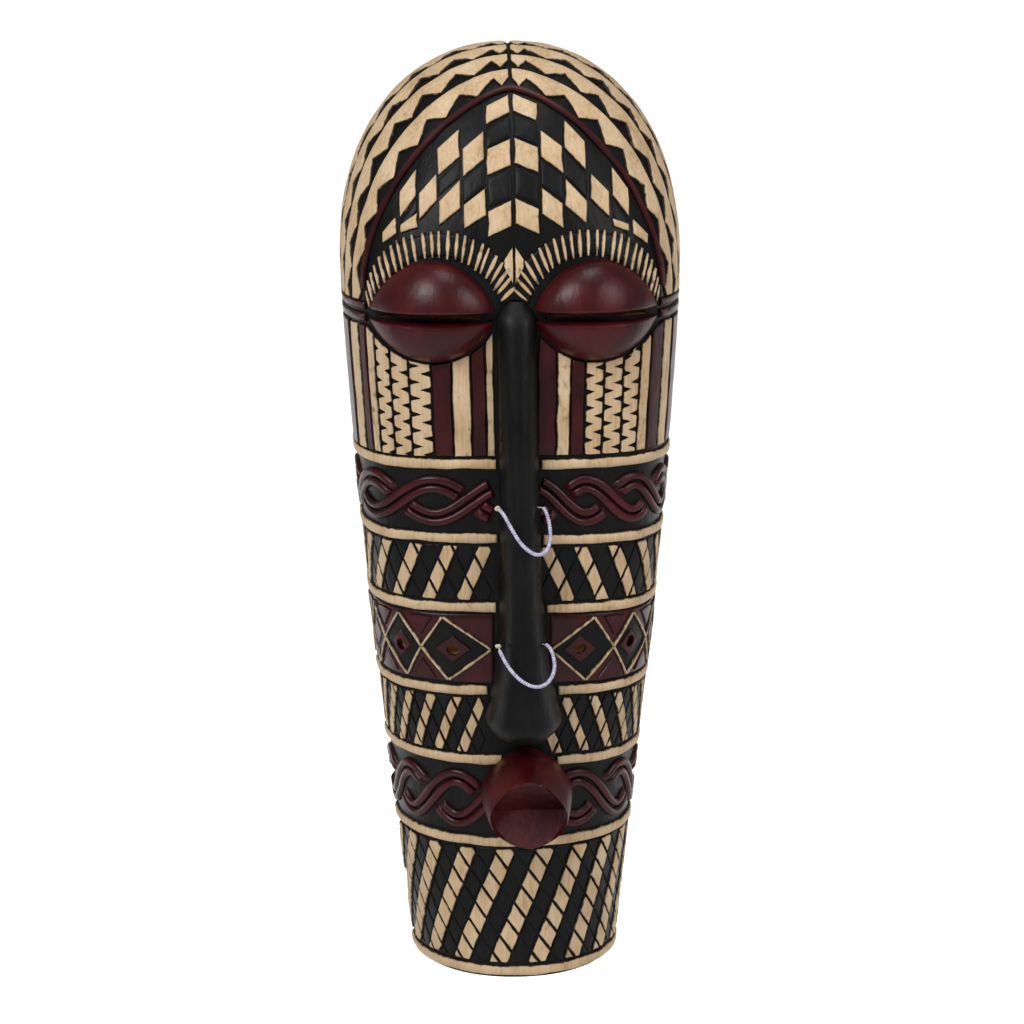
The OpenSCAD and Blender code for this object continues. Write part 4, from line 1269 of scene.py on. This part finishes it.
def make_braid(side, word, part, high, low, tilt, start, cross, half_wave):
    """Two waves, each a pair of raised cords, that swing across each other; a wave passes from
    crest to trough in half_wave. At every crossing one pair stays up and the other sinks."""
    made = Carving()
    mid, swing = (high + low) / 2, (high - low) / 2 - 11.2
    end = half_arc(mid) - 2
    s = np.arange(start, end, 1.2)
    for sign in (1, -1):
        wave = sign * np.cos(math.pi * (s - cross) / half_wave)
        lift = np.ones(len(s))
        for k in range(-1, 5):
            at = cross + half_wave * (k + 0.5)
            if (k % 2 == 0) == (sign < 0):
                lift = np.minimum(lift, 1 - 1.5 * np.exp(-((s - at) / 5.2) ** 6))
        z = mid + swing * wave - tilt * s / half_arc(mid) * side
        p = skin(arc_turn(side * s, z, mid), z)
        for offset in (-CORD_W * 0.56, CORD_W * 0.56):
            d = np.gradient(p, axis=0)
            sideways = np.cross(outward(p), d)
            sideways = sideways / np.linalg.norm(sideways, axis=1, keepdims=True)
            q = press(p + sideways * offset)
            ribbon(made, *beside(q, CORD_W), rise=2.4, bevel=0.8, step=1.3, bulge=0.45,
                   lift=np.maximum(lift, -0.3), wander=0.12)
    made.piece(f"{word}_{part}_piece", MAROON, angle=50, replaces=[f"{word}_{part}"], slot="maroon_paint")


for side, word in ((-1, "left"), (1, "right")):
    make_braid(side, word, "upper_braid", BAND_Z[0], BAND_Z[1], tilt=1.4, start=13,
               cross=7.5 + 2.5 * side, half_wave=32.5 - 5.5 * side)
    make_braid(side, word, "lower_braid", BAND_Z[4], BAND_Z[5], tilt=1.3, start=19 + 4 * side,
               cross=33, half_wave=32)


# ---- lattices --------------------------------------------------------------------------------

def lattice(name, replaces, reach, mid, z_low, z_high, way, first, pitch, wide, tall, lean, cut_slope, tilt):
    """Leaning chains of cream tiles with nearly flush black ones between, on one shared grid.
    A chain runs down sideways by way * lean, and the cuts across it run down the other way by
    cut_slope. first is where a cream chain crosses the mid height, as a signed distance round
    the face, and reach the least and greatest distance that a tile's middle may lie at. Each
    tile is built row by row along its chain, and every row is cut off at z_low and z_high."""
    cream, black = Carving(), Carving()
    b_all, b_cream = pitch / (lean + cut_slope), wide / (lean + cut_slope)
    down = np.array([way * lean, -1.0])
    across = np.array([-way * cut_slope, -1.0])
    origin = np.array([first + way * wide / 2, mid + rng.uniform(-2, 2)])
    for j in range(-9, 10):
        slip = rng.normal(0, 0.5)
        for i in range(-14, 15):
            start = origin + down * (i * tall + slip) + across * j * b_all
            for made, v0, v1, rise in ((cream, 0, b_cream, RELIEF), (black, b_cream, b_all, 0.7)):
                centre = start + down * tall / 2 + across * (v0 + v1) / 2
                too_far = abs(centre[1] - mid) > (z_high - z_low) / 2 + tall
                if too_far or not reach[0] < centre[0] < reach[1]:
                    continue
                rows = start + down * np.linspace(0.55, tall - 0.55, 13)[:, None]
                lo = np.clip(rows[:, 1] - z_high, v0 + 0.45, v1 - 0.45)
                hi = np.clip(rows[:, 1] - z_low, v0 + 0.45, v1 - 0.45)
                keep = hi - lo > 0.35
                if keep.sum() < 4:
                    continue
                a = (rows + across * lo[:, None])[keep]
                b = (rows + across * hi[:, None])[keep]
                edges = []
                for q in (a, b):
                    turn = arc_turn(q[:, 0], q[:, 1], mid)
                    edges.append(skin(turn, q[:, 1] - tilt * np.cos(turn)))
                ribbon(made, edges[0], edges[1], rise, bevel=0.7, step=1.8, wander=0.2)
    cream.piece(f"{name}_piece", CREAM, replaces=replaces, slot="cream_paint")
    black.piece(f"{name}_ground", BLACK, slot="black_paint")


UPPER_MID = (BAND_Z[1] + BAND_Z[2]) / 2
LOWER_MID = (BAND_Z[3] + BAND_Z[4]) / 2
EDGE = RIDGE_W / 2 + 1.4
for side, word in ((-1, "left"), (1, "right")):
    far = half_arc(UPPER_MID) - 4
    lattice(f"{word}_upper_lattice", [f"{word}_upper_lattice"], sorted((side * 13, side * far)),
            UPPER_MID, BAND_Z[2] + EDGE, BAND_Z[1] - EDGE, way=side, first=side * 22.3,
            pitch=18.3, wide=8.2, tall=11.6, lean=0.42, cut_slope=0.5, tilt=1.95)
    far = half_arc(LOWER_MID) - 4
    first, pitch = (31, 15.6) if side > 0 else (24, 13.8)
    lattice(f"{word}_lower_lattice", [f"{word}_lower_lattice"], sorted((side * 17, side * far)),
            LOWER_MID, BAND_Z[4] + EDGE, BAND_Z[3] - EDGE, way=side, first=side * first,
            pitch=pitch, wide=6.6, tall=9.6, lean=0.38, cut_slope=0.45, tilt=1.5)
CHIN_MID = (BAND_Z[5] + RIDGE_W) / 2
far = half_arc(CHIN_MID) - 4
lattice("chin_lattice", ["chin_lattice"], (-far, far), CHIN_MID, RIDGE_W + 3.4, BAND_Z[5] - EDGE,
        way=-1, first=3, pitch=20.8, wide=10.8, tall=9.6, lean=0.4, cut_slope=0.7, tilt=0.4)


# ---- diamonds --------------------------------------------------------------------------------

def distance_round(side, x):
    """How far round the face a hole drilled at x from the middle lies, at the diamonds' height."""
    s = np.linspace(0, half_arc(DIAMOND_Z), 400)
    q = skin(arc_turn(side * s, np.full(400, DIAMOND_Z), DIAMOND_Z), np.full(400, DIAMOND_Z))
    return float(np.interp(x, np.abs(q[:, 0]), s))


# For each side, as distances round the face: where the zigzags cross, and the upper and lower
# points between the crossings.
DIAMONDS = {
    -1: ((13.4, 50.7, 77.7, 104, 121), (39, 63.9, 91, 115), (36.3, 60.8, 90, 114)),
    1: ((18.3, 52.7, 81, 107, 121), (41.3, 65.2, 94, 116), (36.7, 63.3, 93, 115)),
}
# How far round the hearts over the drilled holes lie.
HEARTS = {side: [distance_round(side, x) for x in DIAMOND_X] for side in (-1, 1)}


def make_diamonds(side, word):
    """Two crossing cream zigzags over a maroon field; inside each diamond a black border and a
    raised maroon heart, which is drilled in the two diamonds next to the nose."""
    field, black, lines, hearts, wedges = (Carving() for _ in range(5))
    half = (BAND_Z[2] - BAND_Z[3]) / 2 - RIDGE_W / 2 - 1.2
    crossings, uppers, lowers = DIAMONDS[side]

    def on(s, up):
        """Surface points at distances s round the face; up runs from -1 to 1 across the band."""
        s = np.asarray(s, float)
        z = DIAMOND_Z + np.asarray(up, float) * half - 1.5 * side * s / 80
        return skin(arc_turn(side * s, z, DIAMOND_Z), z)

    def plate(made, corners, rise, **how):
        c = [on(*q) for q in (corners if side > 0 else corners[::-1])]
        ribbon(made, [c[0], c[1]], [c[3], c[2]], rise, **how)

    first = float(nose_half(DIAMOND_Z) + side * nose_x(DIAMOND_Z)) + 1.0
    s = np.linspace(first, half_arc(DIAMOND_Z) - 0.6, 60)
    low, high = on(s, np.full(60, -1)), on(s, np.full(60, 1))
    ribbon(field, low, high, rise=0.9, step=3)
    for k, (s0, s1, top, foot) in enumerate(zip(crossings[:-1], crossings[1:], uppers, lowers)):
        middle = (top + foot) / 2
        near, far = s0 + 0.04 * (middle - s0), s1 - 0.04 * (s1 - middle)
        border = [(near, 0), (foot, -0.88), (far, 0), (top, 0.88)]
        plate(black, border, 1.15, bevel=0.4, step=1.8, wander=0.08)
        centre = HEARTS[side][k] if k < 2 else middle
        wide = 0.27 * (s1 - s0)
        heart = [(centre - wide, 0), (centre, -0.42), (centre + wide, 0), (centre, 0.42)]
        plate(hearts if k < 2 else wedges, heart, 2.0, bevel=0.6, step=1.3, wander=0.1)
        for (a, up_a), (b, up_b) in (((s0, 0), (top, 0.92)), ((s0, 0), (foot, -0.92)),
                                     ((top, 0.92), (s1, 0)), ((foot, -0.92), (s1, 0))):
            path = on(np.linspace(a, b, 14), np.linspace(up_a, up_b, 14))
            ribbon(lines, *beside(path, 1.8), rise=2.4, bevel=0.5, step=1.3, wander=0.12)
    for up, points in ((1, uppers), (-1, lowers)):
        for a, b, cross in zip(points[:-1], points[1:], crossings[1:-1]):
            wedge = [(cross - 0.55 * (cross - a), up * 0.9), (cross, up * 0.34),
                     (cross + 0.55 * (b - cross), up * 0.9), (cross, up * 0.93)]
            plate(wedges, wedge, 1.9, bevel=0.6, step=1.5, wander=0.1)
    pieces = [field.piece(f"{word}_diamond_field", MAROON, slot="maroon_paint"),
              black.piece(f"{word}_diamond_ground", BLACK, slot="black_paint"),
              hearts.piece(f"{word}_diamonds_piece", MAROON,
                           replaces=[f"{word}_diamonds"], slot="maroon_paint")]
    lines.piece(f"{word}_diamond_lines", CREAM, slot="cream_paint")
    wedges.piece(f"{word}_diamond_wedges", MAROON, slot="maroon_paint")
    return pieces


drilled = make_diamonds(-1, "left") + make_diamonds(1, "right")
cut_all(drilled, diamond_drills())


# ---- hanger ----------------------------------------------------------------------------------

for name in ("hanger_strap", "hanger_ring", "hanger_screws"):
    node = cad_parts[name]
    node.data.materials.clear()
    node.data.materials.append(STEEL)


# ---- floor and light -------------------------------------------------------------------------

def studio_paper():
    """Matt white paper, lit from behind well past the mask, so that it stays an even white."""
    material, tree, shader = surface("studio_paper")
    shader.inputs["Base Color"].default_value = linear("#F4F4F3")
    shader.inputs["Roughness"].default_value = 0.9
    place = add(tree, "ShaderNodeTexCoord")
    parts = add(tree, "ShaderNodeSeparateXYZ", {"Vector": place.outputs["Object"]})
    behind = add(tree, "ShaderNodeMapRange", {"Value": parts.outputs["Y"], 1: 0.35, 2: 0.8, 3: 0.0, 4: 0.95})
    shader.inputs["Emission Color"].default_value = (1, 1, 1, 1)
    tree.links.new(behind.outputs["Result"], shader.inputs["Emission Strength"])
    return material


FLOOR_DROP = 0.35                     # how far below the chin the floor lies, in metres


def make_floor():
    """A pale floor well below the mask."""
    mesh = bpy.data.meshes.new("floor")
    z = to_row((0, 0, 0))[2] - FLOOR_DROP
    mesh.from_pydata([(-9, -7, z), (9, -7, z), (9, 16, z), (-9, 16, z)], [], [[0, 1, 2, 3]])
    mesh.materials.append(studio_paper())
    link(mesh, "floor")


def area_light(name, place, size, power):
    """A soft square light aimed at the middle of the mask."""
    data = bpy.data.lights.new(name, "AREA")
    data.energy = power
    data.size = size
    ob = bpy.data.objects.new(name, data)
    bpy.context.scene.collection.objects.link(ob)
    place = Vector(place)
    target = Vector(to_row(CAMERA_TARGET))
    aim = (place - target).to_track_quat("Z", "Y").to_matrix().to_4x4()
    ob.matrix_world = Matrix.Translation(place) @ aim


make_floor()
area_light("key", (-1.2, -1.6, 1.3), 0.9, 31)
area_light("fill", (1.7, -1.4, 0.9), 1.1, 17)
area_light("top", (0.2, -0.5, 1.9), 0.8, 9)
world = bpy.data.worlds.new("studio")
world.use_nodes = True
world.node_tree.nodes["Background"].inputs["Color"].default_value = (1, 1, 1, 1)
world.node_tree.nodes["Background"].inputs["Strength"].default_value = 0.2
bpy.context.scene.world = world
bpy.context.scene.view_settings.view_transform = "Standard"
